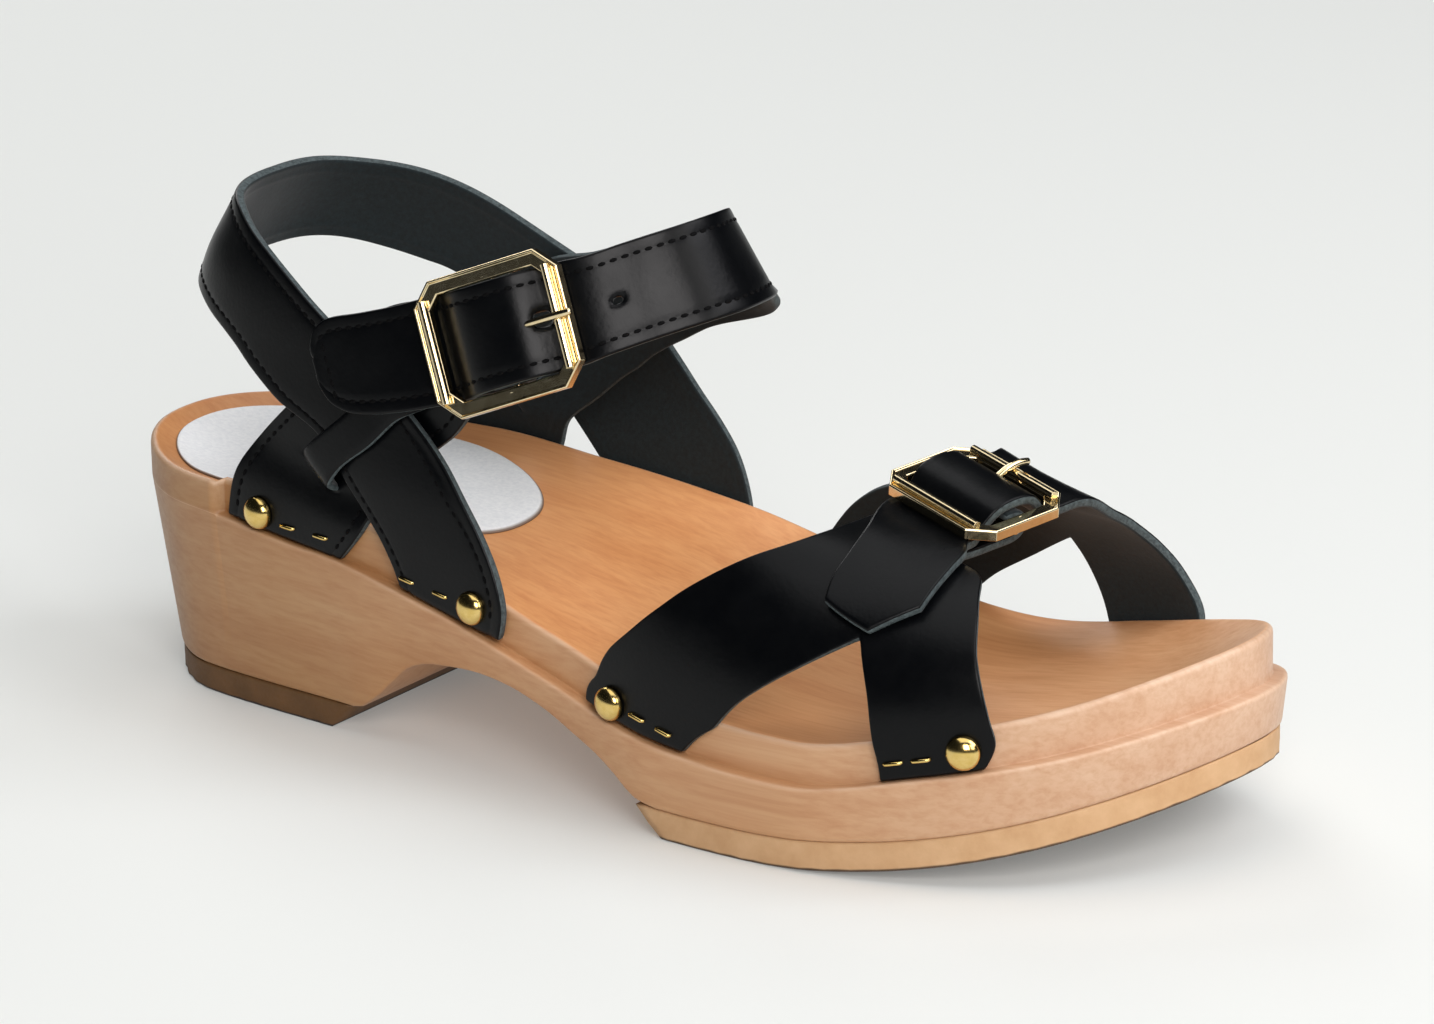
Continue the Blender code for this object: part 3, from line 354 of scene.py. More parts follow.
# Readings of the tables
def read(sections, column, at):
    """Smooth value of a column between its sections, without overshoot."""
    keys = next(iter(sections.values()))
    values = sections[column]
    last = len(keys) - 1
    at = min(max(at, keys[0]), keys[-1])
    slopes = [(values[i + 1] - values[i]) / (keys[i + 1] - keys[i]) for i in range(last)]

    def tangent(i):
        if i == 0 or i == last:
            return slopes[min(i, last - 1)]
        before, after = slopes[i - 1], slopes[i]
        return 0.0 if before * after <= 0 else 2 * before * after / (before + after)

    i = 0
    while i < last - 1 and at > keys[i + 1]:
        i += 1
    width = keys[i + 1] - keys[i]
    t = (at - keys[i]) / width
    rise = values[i] * (1 + 2 * t) * (1 - t) ** 2 + values[i + 1] * t * t * (3 - 2 * t)
    return rise + width * (tangent(i) * t * (1 - t) ** 2 + tangent(i + 1) * t * t * (t - 1))


def mix(a, b, t):
    """Value between a and b."""
    return a + (b - a) * t


def ease(start, end, at):
    """Soft step from 0 at start to 1 at end."""
    t = min(max((at - start) / (end - start), 0.0), 1.0)
    return t * t * (3 - 2 * t)


def signed_power(base, power):
    """Power that keeps the sign of its base."""
    return math.copysign(abs(base) ** power, base)


def rows_of(sections):
    """Rows of a table of named columns."""
    return list(zip(*sections.values()))


def smooth_rows(sections, between):
    """Rows of a table with more rows between them, on a smooth curve; each begins with its row number."""
    rows = rows_of(sections)
    smooth = []
    for i in range(len(rows) - 1):
        corners = [rows[min(max(i + k, 0), len(rows) - 1)] for k in (-1, 0, 1, 2)]
        for step in range(between):
            t = step / between
            row = []
            for p0, p1, p2, p3 in zip(*corners):
                bend = (2 * p0 - 5 * p1 + 4 * p2 - p3) * t * t + (3 * p1 - p0 - 3 * p2 + p3) * t ** 3
                row.append(0.5 * (2 * p1 + (p2 - p0) * t + bend))
            smooth.append((i + t, *row))
    smooth.append((len(rows) - 1.0, *rows[-1]))
    return smooth


# Sole shape
def heel_share(x):
    """1 at the heel back, falling to 0 where the round heel ends."""
    return max(0.0, 1.0 - x / HEEL_ROUND)


def toe_share(x):
    """1 at the toe, falling to 0 where the round toe begins."""
    return max(0.0, (x - SOLE_LENGTH + TOE_ROUND) / TOE_ROUND)


def end_round(x):
    """Share of the half width left by the rounded heel and toe."""
    heel = (1 - heel_share(x) ** HEEL_POWER) ** (1 / HEEL_POWER)
    toe = (1 - min(toe_share(x), 1.0) ** TOE_POWER) ** (1 / TOE_POWER)
    return heel * toe


def outline(station, side, inset):
    """Point of the sole's outline, drawn in by an inset; side 0 is the middle line."""
    x = station + inset * (heel_share(station) - toe_share(station))
    y = read(SOLE, "axis", station) + side * (read(SOLE, "half", station) - inset) * end_round(station)
    return x, y


def wall_y(x, side, inset):
    """Side of the drawn-in outline at x."""
    station = x
    if toe_share(x) > 0:
        toe_start = SOLE_LENGTH - TOE_ROUND
        station = (x - inset * toe_start / TOE_ROUND) / (1 - inset / TOE_ROUND)
    return outline(min(station, SOLE_LENGTH), side, inset)[1]


def rim(x, side):
    """Height of the footbed's rim; side may lie anywhere between the two sides."""
    return mix(read(SOLE, "rim_lateral", x), read(SOLE, "rim_medial", x), (1 + side) / 2)


def toe_spring(x):
    """Rise of the forefoot off the floor."""
    past = max(0.0, x - TOE_SPRING_START) / (SOLE_LENGTH - TOE_SPRING_START)
    return TOE_SPRING * past * past


def underside(x):
    """Height of the wood's underside."""
    if x < UNDERSIDE["x"][-1]:
        return read(UNDERSIDE, "z", x)
    return OUTSOLE_THICK + GAP + toe_spring(x)


def round_end_steps(length, count):
    """Distances from a round end, close at its tip."""
    return [length * (1 - math.cos(math.pi / 2 * k / count)) for k in range(1, count + 1)]


def step_depth(station):
    """Depth of the step that seats the straps."""
    return STRAP_STEP if station > STRAP_STEP_START else 0.0


def rim_inset(station):
    """Inset of the footbed's rim from the outline."""
    return step_depth(station) + RIM_ROUND


def footbed(station, side, share):
    """Point of the dished footbed: share 1 is its rim, 0 its spine."""
    rim_x, rim_y = outline(station, side, rim_inset(station))
    spine_x = min(max(rim_x, SPINE_HEEL), SPINE_TOE)
    x = mix(spine_x, rim_x, share)
    y = mix(read(SOLE, "axis", spine_x), rim_y, share)
    level = mix(x, station, share ** DISH_POWER)
    drop = read(SOLE, "dish", level) * (1 - share ** DISH_POWER)
    return Vector((x, y, rim(level, side * share) - drop))


# Lasts that the straps lie on
def ankle_point(turn, z):
    """Point of the ankle's last; turn is in degrees from the heel back, negative on the lateral side."""
    back, front, half, middle = (read(ANKLE, name, z) for name in ("back", "front", "half", "middle"))
    power = 2 / ANKLE_POWER
    x = (back + front) / 2 - (front - back) / 2 * signed_power(math.cos(math.radians(turn)), power)
    x += HEEL_DRAWN_IN * max(0.0, math.cos(math.radians(turn))) ** HEEL_DRAWN_POWER
    y = middle + half * signed_power(math.sin(math.radians(turn)), power)
    side = LATERAL if math.sin(math.radians(turn)) < 0 else MEDIAL
    if WALL_HEEL_END < x < WALL_TOE_END:
        ends = min((x - WALL_HEEL_END) / WALL_FADE, (WALL_TOE_END - x) / WALL_FADE, 1.0)
        hold = (1 - ease(-WALL_HOLD, WALL_BLEND - WALL_HOLD, z - rim(x, side))) * ends
        y = mix(y, wall_y(x, side, STRAP_STEP - GAP), hold)
    return Vector((x, y, z))


def foot_point(x, angle):
    """Point of the forefoot's last; angle is in degrees from its crown, negative on the lateral side."""
    lateral = wall_y(x, LATERAL, STRAP_STEP - GAP)
    medial = wall_y(x, MEDIAL, STRAP_STEP - GAP)
    bounded = math.radians(max(-90.0, min(90.0, angle)))
    across = signed_power(math.sin(bounded), ARCH_WIDTH_POWER)
    z = rim(x, across) + read(FOOT, "crown", x) * abs(math.cos(bounded)) ** ARCH_HEIGHT_POWER
    z -= max(0.0, abs(angle) - 90.0) * WALL_MM_PER_DEGREE
    return Vector((x, mix(lateral, medial, (1 + across) / 2), z))


def outward(point, first, second):
    """Way out of a last at a place given by its two readings."""
    run = point(first + FEEL, second) - point(first - FEEL, second)
    rise = point(first, second + FEEL) - point(first, second - FEEL)
    way = run.cross(rise).normalized()
    return way if way.dot(point(first, second) - INSIDE) > 0 else -way


def on_ankle(turn, z, lift):
    """Point at a height off the ankle's last."""
    return ankle_point(turn, z) + outward(ankle_point, turn, z) * lift


def on_foot(x, angle, lift):
    """Point at a height off the forefoot's last."""
    return foot_point(x, angle) + outward(foot_point, x, angle) * lift


def seat_axes(along, out):
    """Square axes of a buckle: along the strap, across it, and out of it."""
    along = along.normalized()
    out = (out - along * along.dot(out)).normalized()
    return along, along.cross(out), out


ANKLE_AXES = (ANKLE_SEAT, *seat_axes(ANKLE_ALONG, ANKLE_OUT))
FRONT_AXES = (FRONT_SEAT, *seat_axes(FRONT_ALONG, FRONT_OUT))


def on_seat(axes, along, across, out):
    """Point in a buckle's own axes."""
    seat, way_along, way_across, way_out = axes
    return seat + way_along * along + way_across * across + way_out * out


# Rows of leather: each is a function from the share across to a point
def ankle_row(rear_turn, rear_z, front_turn, front_z, lift):
    return lambda share, raised=0.0: on_ankle(
        mix(rear_turn, front_turn, share), mix(rear_z, front_z, share), lift + raised)


def foot_row(rear_x, rear_angle, front_x, front_angle, lift):
    return lambda share, raised=0.0: on_foot(
        mix(rear_x, front_x, share), mix(rear_angle, front_angle, share), lift + raised)


def bent_foot_row(rear_x, rear_angle, middle_x, middle_angle, front_x, front_angle, lift):
    def at(share, raised=0.0):
        if share < 0.5:
            return foot_row(rear_x, rear_angle, middle_x, middle_angle, lift)(2 * share, raised)
        return foot_row(middle_x, middle_angle, front_x, front_angle, lift)(2 * share - 1, raised)
    return at


def point_row(rear_x, rear_y, rear_z, front_x, front_y, front_z):
    def at(share, raised=0.0):
        point = Vector((rear_x, rear_y, rear_z)).lerp(Vector((front_x, front_y, front_z)), share)
        return point + (point - INSIDE).normalized() * raised
    return at


def seat_row(axes, along, rear, front, out):
    return lambda share, raised=0.0: on_seat(axes, along, mix(rear, front, share), out + raised)


def tuck_rows(axes, width, run_in, back):
    """Rows of a strap end that runs under the bar, folds round it and lies back."""
    path = [(along, 0.0) for along in run_in]
    for step in range(FOLD_STEPS + 1):
        turn = math.pi * step / FOLD_STEPS
        path.append((FOLD_CENTRE + FOLD_RADIUS * math.sin(turn), FOLD_RADIUS * (1 - math.cos(turn))))
    path.append((back, 2 * FOLD_RADIUS))
    return [seat_row(axes, along, -width / 2, width / 2, out) for along, out in path]


def bridge_rise(bridge, number, share):
    """Height of a strap's bridge at a row number and a share across; its ends lie along the heel strap."""
    rise_start, rise_end, fall_start, fall_end = bridge
    place = number + BRIDGE_SLANT * (share - BRIDGE_MIDDLE)
    return BRIDGE_LIFT * (ease(rise_start, rise_end, place) - ease(fall_start, fall_end, place))


# Finer sizes of the dressed pieces
MIDDLE_X = 125.0
MIDDLE_Y = 1.14
HEEL_FINE = 18
TOE_FINE = 30
HEEL_TIP = [(0.0, 0)]
TOE_TIP = [(SOLE_LENGTH, 0)]
MID_PITCH = 2.6
STEP_CLIFF = 0.1
LEDGE_ROUND = 0.9
ROOT_ROUND = 0.35
NO_STEP_ROUND = 0.1
FOOT_ROUND = 1.1
CORNER_STEPS = 4
UNDER_SHARES = (0.0, 0.5, 0.85)
# Columns of the rim and ledge roundings, how far the painted edge highlight spreads from them, and how
# strong it is
EDGE_RIDGES = (8, 18)
EDGE_SPREAD = 2.5
EDGE_HIGHLIGHT_SHARE = 0.45
RIM_COLUMNS = 2
FOOTBED_SHARES = (0.985, 0.96, 0.93, 0.89, 0.84, 0.78, 0.7, 0.6, 0.5, 0.4, 0.3, 0.2, 0.1, 0.0)
ROW_PITCH = 1.9
PLAIN_EDGE = (0.0, 0.45, 1.3)
STITCHED_EDGE = (0.0, 0.45, 1.5, 2.15, 2.6, 3.05, 3.9)
BARE_EDGE = (0.0,)
EDGE_SQUEEZE = 0.8
STITCH_INSET = 2.6
STITCH_TROUGH = 0.14
STITCH_TROUGH_WIDTH = 0.5
STITCH_PITCH = 2.3
STITCH_LENGTH = 1.65
STITCH_WIDTH = 0.8
STITCH_HEIGHT = 0.34
STITCH_PROUD = 0.05
STITCH_SEGMENTS = 8
STITCH_RINGS = 5
STITCH_START = 0.3
TIP_ROWS = 4
THREAD_STEP = 0.5
EDGE_SLOT = 1
FLESH_SLOT = 2
SLIT_OPEN = 0.35
SLIT_TUCK = 4.0

# Staples between the nails: centre of each on its last, and the next one along it
STAPLE_LENGTH = 3.3
STAPLE_RADIUS = 0.38
STAPLE_RISE = 0.25
STAPLE_SHOULDER = 0.85
STAPLE_LEG = 0.9
STAPLE_SIDES = 8
ANKLE_STAPLES = (
    (-64.1, 40.8), (-70.1, 40.6), (-82.4, 36.5), (-86.2, 35.3),
    (63.4, 42.4), (69.4, 42.2), (84.4, 42.4), (88.2, 41.2),
)
FOOT_STAPLES = (
    (146.2, -98.9), (152.6, -100.6), (200.2, -99.6), (205.2, -99.6),
    (146.2, 98.9), (152.6, 100.6), (199.6, 99.4), (204.4, 99.4),
)


# Materials
def linear(code):
    """Linear colour of an sRGB hex code."""
    parts = [int(code[k:k + 2], 16) / 255 for k in (1, 3, 5)]
    return (*[p / 12.92 if p <= 0.04045 else ((p + 0.055) / 1.055) ** 2.4 for p in parts], 1.0)


def node(material, kind, inputs, stops=(), out=0, **settings):
    """Output of a new shader node with its settings; an input is a value or the output that feeds it."""
    tree = material.node_tree
    made = tree.nodes.new("ShaderNode" + kind)
    for name, value in settings.items():
        setattr(made, name, value)
    for name, value in inputs.items():
        if isinstance(value, bpy.types.NodeSocket):
            tree.links.new(value, made.inputs[name])
        else:
            made.inputs[name].default_value = value
    for _ in stops[2:]:
        made.color_ramp.elements.new(0.5)
    for k, (place, code) in enumerate(stops):
        made.color_ramp.elements[k].position = place
        made.color_ramp.elements[k].color = linear(code)
    return made.outputs[out]


def new_finish(name, **values):
    """Material with a Principled shader, its constant values set on the sockets."""
    material = bpy.data.materials.new(name)
    material.use_nodes = True
    shader = material.node_tree.nodes["Principled BSDF"]
    for socket, value in values.items():
        shader.inputs[socket.replace("_", " ")].default_value = value
    return material, shader


def feed(material, shader, **sockets):
    """Link outputs into the shader's sockets."""
    for socket, output in sockets.items():
        material.node_tree.links.new(output, shader.inputs[socket.replace("_", " ")])


def per_mm(size):
    """Pattern scale for features of a size in millimetres."""
    return 1.0 / (size * MM)


def alder_wood():
    """Sanded and oiled alder: honey footbed, paler walls, fine streaks, a satin gloss; the walls are darker
    toward the heel as painted shade and paler, pinkish toward the toe as painted light, and the rim and
    ledge edges carry a painted highlight.
    """
    wood, shader = new_finish("oiled_alder", Coat_Weight=0.1, Coat_Roughness=0.3, IOR=1.5)
    place = node(wood, "TexCoord", {}, out="Object")
    # Alder's fibres are under 0.1 mm wide: too fine to show, so they are drawn wider.
    fibre_place = node(wood, "Mapping", {
        "Vector": place, "Scale": (per_mm(45), per_mm(1.1), per_mm(1.1))})
    fibre = node(wood, "TexNoise", {
        "Vector": fibre_place, "Scale": 1.0, "Detail": 5.0, "Roughness": 0.62, "Distortion": 0.3})
    streak_place = node(wood, "Mapping", {
        "Vector": place, "Scale": (per_mm(90), per_mm(7), per_mm(7))})
    streak = node(wood, "TexNoise", {
        "Vector": streak_place, "Scale": 1.0, "Detail": 4.0, "Roughness": 0.55, "Distortion": 0.4})
    along = node(wood, "SeparateXYZ", {"Vector": place}, out="X")
    share = node(wood, "MapRange", {
        "Value": along, "From Min": -MIDDLE_X * MM, "From Max": MIDDLE_X * MM})
    bed_tone = node(wood, "ValToRGB", {"Fac": share}, stops=(
        (0.0, "#C88F5C"), (0.22, "#D09663"), (0.45, "#E5A56C"), (0.75, "#E2A772"), (1.0, "#EFC39A")))
    # The walls run darker toward the heel and paler, pinkish toward the toe: painted shade on the heel's
    # side and painted light on the toe's side, over the wood's own tone.
    wall_tone_with_painted_light = node(wood, "ValToRGB", {"Fac": share}, stops=(
        (0.0, "#AA8056"), (0.2, "#B88C5C"), (0.45, "#D09F71"), (0.72, "#CEA176"), (1.0, "#D8B79C")))
    on_side = node(wood, "Attribute", {}, attribute_name="side_share", out="Fac")
    edge_highlight_mask = node(wood, "Attribute", {}, attribute_name="edge_highlight_share", out="Fac")
    base = node(wood, "MixRGB", {"Fac": on_side, "Color1": bed_tone, "Color2": wall_tone_with_painted_light})
    # The rounded rim and ledge edges are mixed toward a pale tone: a painted highlight where they catch the
    # light.
    painted_edge_highlight = node(wood, "Math", {0: edge_highlight_mask, 1: EDGE_HIGHLIGHT_SHARE}, operation="MULTIPLY")
    tone_with_painted_edge = node(wood, "MixRGB", {"Fac": painted_edge_highlight, "Color1": base, "Color2": linear("#F3D9C0")})
    streak_tone = node(wood, "ValToRGB", {"Fac": streak}, stops=(
        (0.25, "#EEDFD2"), (0.5, "#FAF4EF"), (0.75, "#FFFFFF")))
    fibre_tone = node(wood, "ValToRGB", {"Fac": fibre}, stops=((0.3, "#F3E9E1"), (0.6, "#FFFFFF")))
    streaked = node(wood, "MixRGB", {
        "Fac": 1.0, "Color1": tone_with_painted_edge, "Color2": streak_tone}, blend_type="MULTIPLY")
    tone = node(wood, "MixRGB", {
        "Fac": 1.0, "Color1": streaked, "Color2": fibre_tone}, blend_type="MULTIPLY")
    gloss = node(wood, "MapRange", {"Value": fibre, "To Min": 0.58, "To Max": 0.44})
    bump = node(wood, "Bump", {"Height": fibre, "Strength": 0.1, "Distance": 0.2 * MM})
    feed(wood, shader, Base_Color=tone, Roughness=gloss, Normal=bump)
    return wood


def black_leather():
    """Black dyed calf, plated smooth: deep blue-black, fine pores, a soft wide sheen."""
    leather, shader = new_finish("black_calf", IOR=1.5, Specular_IOR_Level=0.16)
    place = node(leather, "TexCoord", {}, out="Object")
    # Calf's pores are about 0.1 mm wide: too fine to show, so they are drawn coarser.
    cells = node(leather, "TexVoronoi", {
        "Vector": place, "Scale": per_mm(0.95)}, feature="SMOOTH_F1", out="Distance")
    cloud = node(leather, "TexNoise", {
        "Vector": place, "Scale": per_mm(7), "Detail": 4.0, "Roughness": 0.6})
    pores = node(leather, "TexNoise", {"Vector": place, "Scale": per_mm(0.6), "Detail": 2.0})
    tone = node(leather, "ValToRGB", {"Fac": cloud}, stops=((0.3, "#040507"), (0.75, "#08090B")))
    gloss = node(leather, "MapRange", {
        "Value": cloud, "From Min": 0.25, "From Max": 0.75, "To Min": 0.27, "To Max": 0.35})
    relief = node(leather, "Math", {0: cells, 1: pores}, operation="ADD")
    bump = node(leather, "Bump", {"Height": relief, "Strength": 0.22, "Distance": 0.07 * MM})
    feed(leather, shader, Base_Color=tone, Roughness=gloss, Normal=bump)
    return leather


def cut_edge():
    """Raw cut edge of the hide: grey-green fibres, dull."""
    edge, shader = new_finish("raw_hide_edge", Roughness=0.85, IOR=1.45)
    place = node(edge, "TexCoord", {}, out="Object")
    # The hide's fibres are too fine to show, so they are drawn coarser.
    fibre = node(edge, "TexNoise", {
        "Vector": place, "Scale": per_mm(0.8), "Detail": 3.0, "Roughness": 0.7})
    tone = node(edge, "ValToRGB", {"Fac": fibre}, stops=((0.3, "#2B3335"), (0.7, "#566163")))
    bump = node(edge, "Bump", {"Height": fibre, "Strength": 0.5, "Distance": 0.15 * MM})
    feed(edge, shader, Base_Color=tone, Normal=bump)
    return edge


def flesh_side():
    """Dyed flesh side of the hide: near-black green nap, no gloss."""
    flesh, shader = new_finish(
        "dyed_flesh_side", Roughness=0.9, IOR=1.45, Sheen_Weight=0.15, Sheen_Roughness=0.5)
    place = node(flesh, "TexCoord", {}, out="Object")
    # The nap's fibres are too fine to show, so they are drawn coarser.
    nap = node(flesh, "TexNoise", {
        "Vector": place, "Scale": per_mm(0.9), "Detail": 4.0, "Roughness": 0.7})
    tone = node(flesh, "ValToRGB", {"Fac": nap}, stops=((0.3, "#081113"), (0.75, "#132226")))
    bump = node(flesh, "Bump", {"Height": nap, "Strength": 0.4, "Distance": 0.12 * MM})
    feed(flesh, shader, Base_Color=tone, Normal=bump)
    return flesh


def waxed_thread():
    """Waxed black polyester thread: darker than the hide, with a dull twist."""
    thread, shader = new_finish("waxed_thread", Roughness=0.75, IOR=1.5, Specular_IOR_Level=0.1)
    place = node(thread, "TexCoord", {}, out="Object")
    twist = node(thread, "TexNoise", {"Vector": place, "Scale": per_mm(0.35)})
    tone = node(thread, "ValToRGB", {"Fac": twist}, stops=((0.3, "#020203"), (0.7, "#060607")))
    feed(thread, shader, Base_Color=tone)
    return thread


def plated_metal(name, dark, light, roughness):
    """Polished plate: warm gold, mirror-like with faint polishing marks."""
    metal, shader = new_finish(name, Metallic=1.0)
    place = node(metal, "TexCoord", {}, out="Object")
    # Polishing marks are too fine to show, so the faint clouds that they leave are drawn.
    marks = node(metal, "TexNoise", {
        "Vector": place, "Scale": per_mm(1.6), "Detail": 4.0, "Roughness": 0.65})
    tone = node(metal, "ValToRGB", {"Fac": marks}, stops=((0.3, dark), (0.7, light)))
    gloss = node(metal, "MapRange", {
        "Value": marks, "To Min": roughness * 0.7, "To Max": roughness * 1.4})
    feed(metal, shader, Base_Color=tone, Roughness=gloss)
    return metal


def crepe_rubber(name, dark, light, lowest_edge_colour):
    """Moulded rubber: slightly cloudy, dull, with a grit of fine pits, and darker along its lowest edge."""
    rubber, shader = new_finish(name, IOR=1.52)
    place = node(rubber, "TexCoord", {}, out="Object")
    cloud = node(rubber, "TexNoise", {
        "Vector": place, "Scale": per_mm(6), "Detail": 5.0, "Roughness": 0.6})
    grit = node(rubber, "TexNoise", {"Vector": place, "Scale": per_mm(0.7), "Detail": 2.0})
    tone = node(rubber, "ValToRGB", {"Fac": cloud}, stops=((0.3, dark), (0.7, light)))
    # The rubber darkens toward its lowest edge.
    height = node(rubber, "Attribute", {}, attribute_name="height_share", out="Fac")
    above = node(rubber, "MapRange", {
        "Value": height, "From Min": LOW_EDGE_TOP - LOW_EDGE_BLEND, "From Max": LOW_EDGE_TOP})
    tone = node(rubber, "MixRGB", {"Fac": above, "Color1": linear(lowest_edge_colour), "Color2": tone})
    gloss = node(rubber, "MapRange", {"Value": grit, "To Min": 0.55, "To Max": 0.8})
    bump = node(rubber, "Bump", {"Height": grit, "Strength": 0.3, "Distance": 0.15 * MM})
    feed(rubber, shader, Base_Color=tone, Roughness=gloss, Normal=bump)
    return rubber


def pale_sock():
    """Pale lining leather on thin foam: cool white-grey, matt, with a thin brown line of painted shade
    round its edge.
    """
    sock, shader = new_finish("pale_lining", Roughness=0.7, IOR=1.45)
    place = node(sock, "TexCoord", {}, out="Object")
    # The lining's grain is too fine to show, so it is drawn coarser.
    grain = node(sock, "TexNoise", {
        "Vector": place, "Scale": per_mm(0.9), "Detail": 3.0, "Roughness": 0.6})
    rim_share = node(sock, "Attribute", {}, attribute_name="rim_share", out="Fac")
    tone = node(sock, "ValToRGB", {"Fac": grain}, stops=((0.3, "#DADCDE"), (0.7, "#E8E9E9")))
    # The pad's edge is mixed toward a thin brown line: painted shade where the pad meets the wood.
    line = node(sock, "MapRange", {"Value": rim_share, "From Min": SOCK_EDGE_SHADOW[0], "From Max": SOCK_EDGE_SHADOW[1]})
    tone_with_painted_edge = node(sock, "MixRGB", {"Fac": line, "Color1": tone, "Color2": linear("#7A6A5E")})
    bump = node(sock, "Bump", {"Height": grain, "Strength": 0.25, "Distance": 0.08 * MM})
    feed(sock, shader, Base_Color=tone_with_painted_edge, Normal=bump)
    return sock


# Meshes
def face_out(bm):
    """Turn all faces outward."""
    bm.normal_update()
    bmesh.ops.recalc_face_normals(bm, faces=bm.faces)
    bm.normal_update()


def mesh_of(name, bm):
    """Mesh drawn from a bmesh, which is then freed."""
    mesh = bpy.data.meshes.new(name)
    bm.to_mesh(mesh)
    bm.free()
    return mesh


def placed(name, data):
    """Object of a mesh, light or camera, put in the scene."""
    made = bpy.data.objects.new(name, data)
    bpy.context.scene.collection.objects.link(made)
    return made


def modify(piece, name, kind, **settings):
    """Modifier on a piece, with its settings."""
    made = piece.modifiers.new(name, kind)
    for setting, value in settings.items():
        setattr(made, setting, value)


def dressed(name, bm, finishes, stands_for):
    """Piece of a mesh in millimetres, set in the part's frame, riding on the shoe."""
    bmesh.ops.scale(bm, vec=(MM, MM, MM), verts=bm.verts)
    bmesh.ops.translate(bm, vec=Vector((-MIDDLE_X, -MIDDLE_Y, 0.0)) * MM, verts=bm.verts)
    mesh = mesh_of(name, bm)
    mesh.shade_smooth()
    for finish in finishes:
        mesh.materials.append(finish)
    piece = placed(name, mesh)
    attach(piece, "root")
    if stands_for:
        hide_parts(*stands_for)
    return piece


def lay(bm, points, marks=()):
    """Grid laid over rows of points; each mark is a layer and its value at each column."""
    across, along = len(points[0]) - 1, len(points) - 1
    made = bmesh.ops.create_grid(bm, x_segments=across, y_segments=along, size=0.5)
    for vert in made["verts"]:
        column = round((vert.co.x + 0.5) * across)
        row = round((vert.co.y + 0.5) * along)
        vert.co = points[row][column]
        for layer, values in marks:
            vert[layer] = values[column]


def closed(bm):
    """Weld the seams of laid grids into one skin and turn it outward."""
    bmesh.ops.remove_doubles(bm, verts=bm.verts, dist=WELD)
    bmesh.ops.dissolve_degenerate(bm, edges=bm.edges, dist=WELD)
    face_out(bm)


def rod(bm, path, radius, sides, side_way):
    """Round rod along a path that lies across the given way, with flat ends."""
    rings = []
    for i, point in enumerate(path):
        before, after = path[max(i - 1, 0)], path[min(i + 1, len(path) - 1)]
        way = (after - before).normalized()
        turn = Matrix((side_way, way.cross(side_way).normalized(), way)).transposed().to_4x4()
        made = bmesh.ops.create_circle(
            bm, segments=sides, radius=radius, matrix=Matrix.Translation(point) @ turn)
        rings.append(list(dict.fromkeys(edge for vert in made["verts"] for edge in vert.link_edges)))
    for ring, following in zip(rings, rings[1:]):
        bmesh.ops.bridge_loops(bm, edges=ring + following)
    for ring in (rings[0], rings[-1]):
        bmesh.ops.edgeloop_fill(bm, edges=ring)


# Sole
def fine_stations():
    """Stations of the dressed sole, closer at its round ends and at the end of the strap step."""
    heel = round_end_steps(HEEL_ROUND, HEEL_FINE)
    toe = [SOLE_LENGTH - back for back in round_end_steps(TOE_ROUND, TOE_FINE)]
    count = round((toe[-1] - heel[-1]) / MID_PITCH)
    middle = [mix(heel[-1], toe[-1], k / count) for k in range(1, count)]
    cliff = [STRAP_STEP_START - STEP_CLIFF, STRAP_STEP_START + STEP_CLIFF]
    return sorted(heel + middle + cliff + toe)


def round_trip(start, stations, end):
    """Station and side of each column round a piece: out on the lateral side and back on the medial."""
    lateral = [(x, LATERAL) for x in stations]
    medial = [(x, MEDIAL) for x in reversed(stations)]
    return start + lateral + end + medial + start


def rounded(corners):
    """Line through corners, each a place and a radius, with soft rounds of a few steps."""
    line = [Vector(corners[0][0])]
    for (before, _), (corner, radius), (after, _) in zip(corners, corners[1:], corners[2:]):
        corner, before, after = Vector(corner), Vector(before), Vector(after)
        start = corner + (before - corner).normalized() * radius
        end = corner + (after - corner).normalized() * radius
        for k in range(CORNER_STEPS + 1):
            t = k / CORNER_STEPS
            line.append(start * (1 - t) ** 2 + corner * (2 * t * (1 - t)) + end * t * t)
    return line + [Vector(corners[-1][0])]


def side_line(station, side):
    """Inset and height of the sole's side, from its underside up to the footbed's rim."""
    draft = read(DRAFT, "inset", station)
    top = rim(station, side)
    ledge = top - read(SOLE, "band", station)
    step = step_depth(station)
    root = (step, ledge) if step else (0.0, ledge + LEDGE_ROUND)
    return rounded((
        ((draft + 2 * FOOT_ROUND, underside(station)), 0.0),
        ((draft, underside(station)), FOOT_ROUND),
        ((0.0, ledge), LEDGE_ROUND if step else NO_STEP_ROUND),
        (root, ROOT_ROUND),
        ((step, top), RIM_ROUND),
        ((step + RIM_ROUND, top), 0.0),
    ))


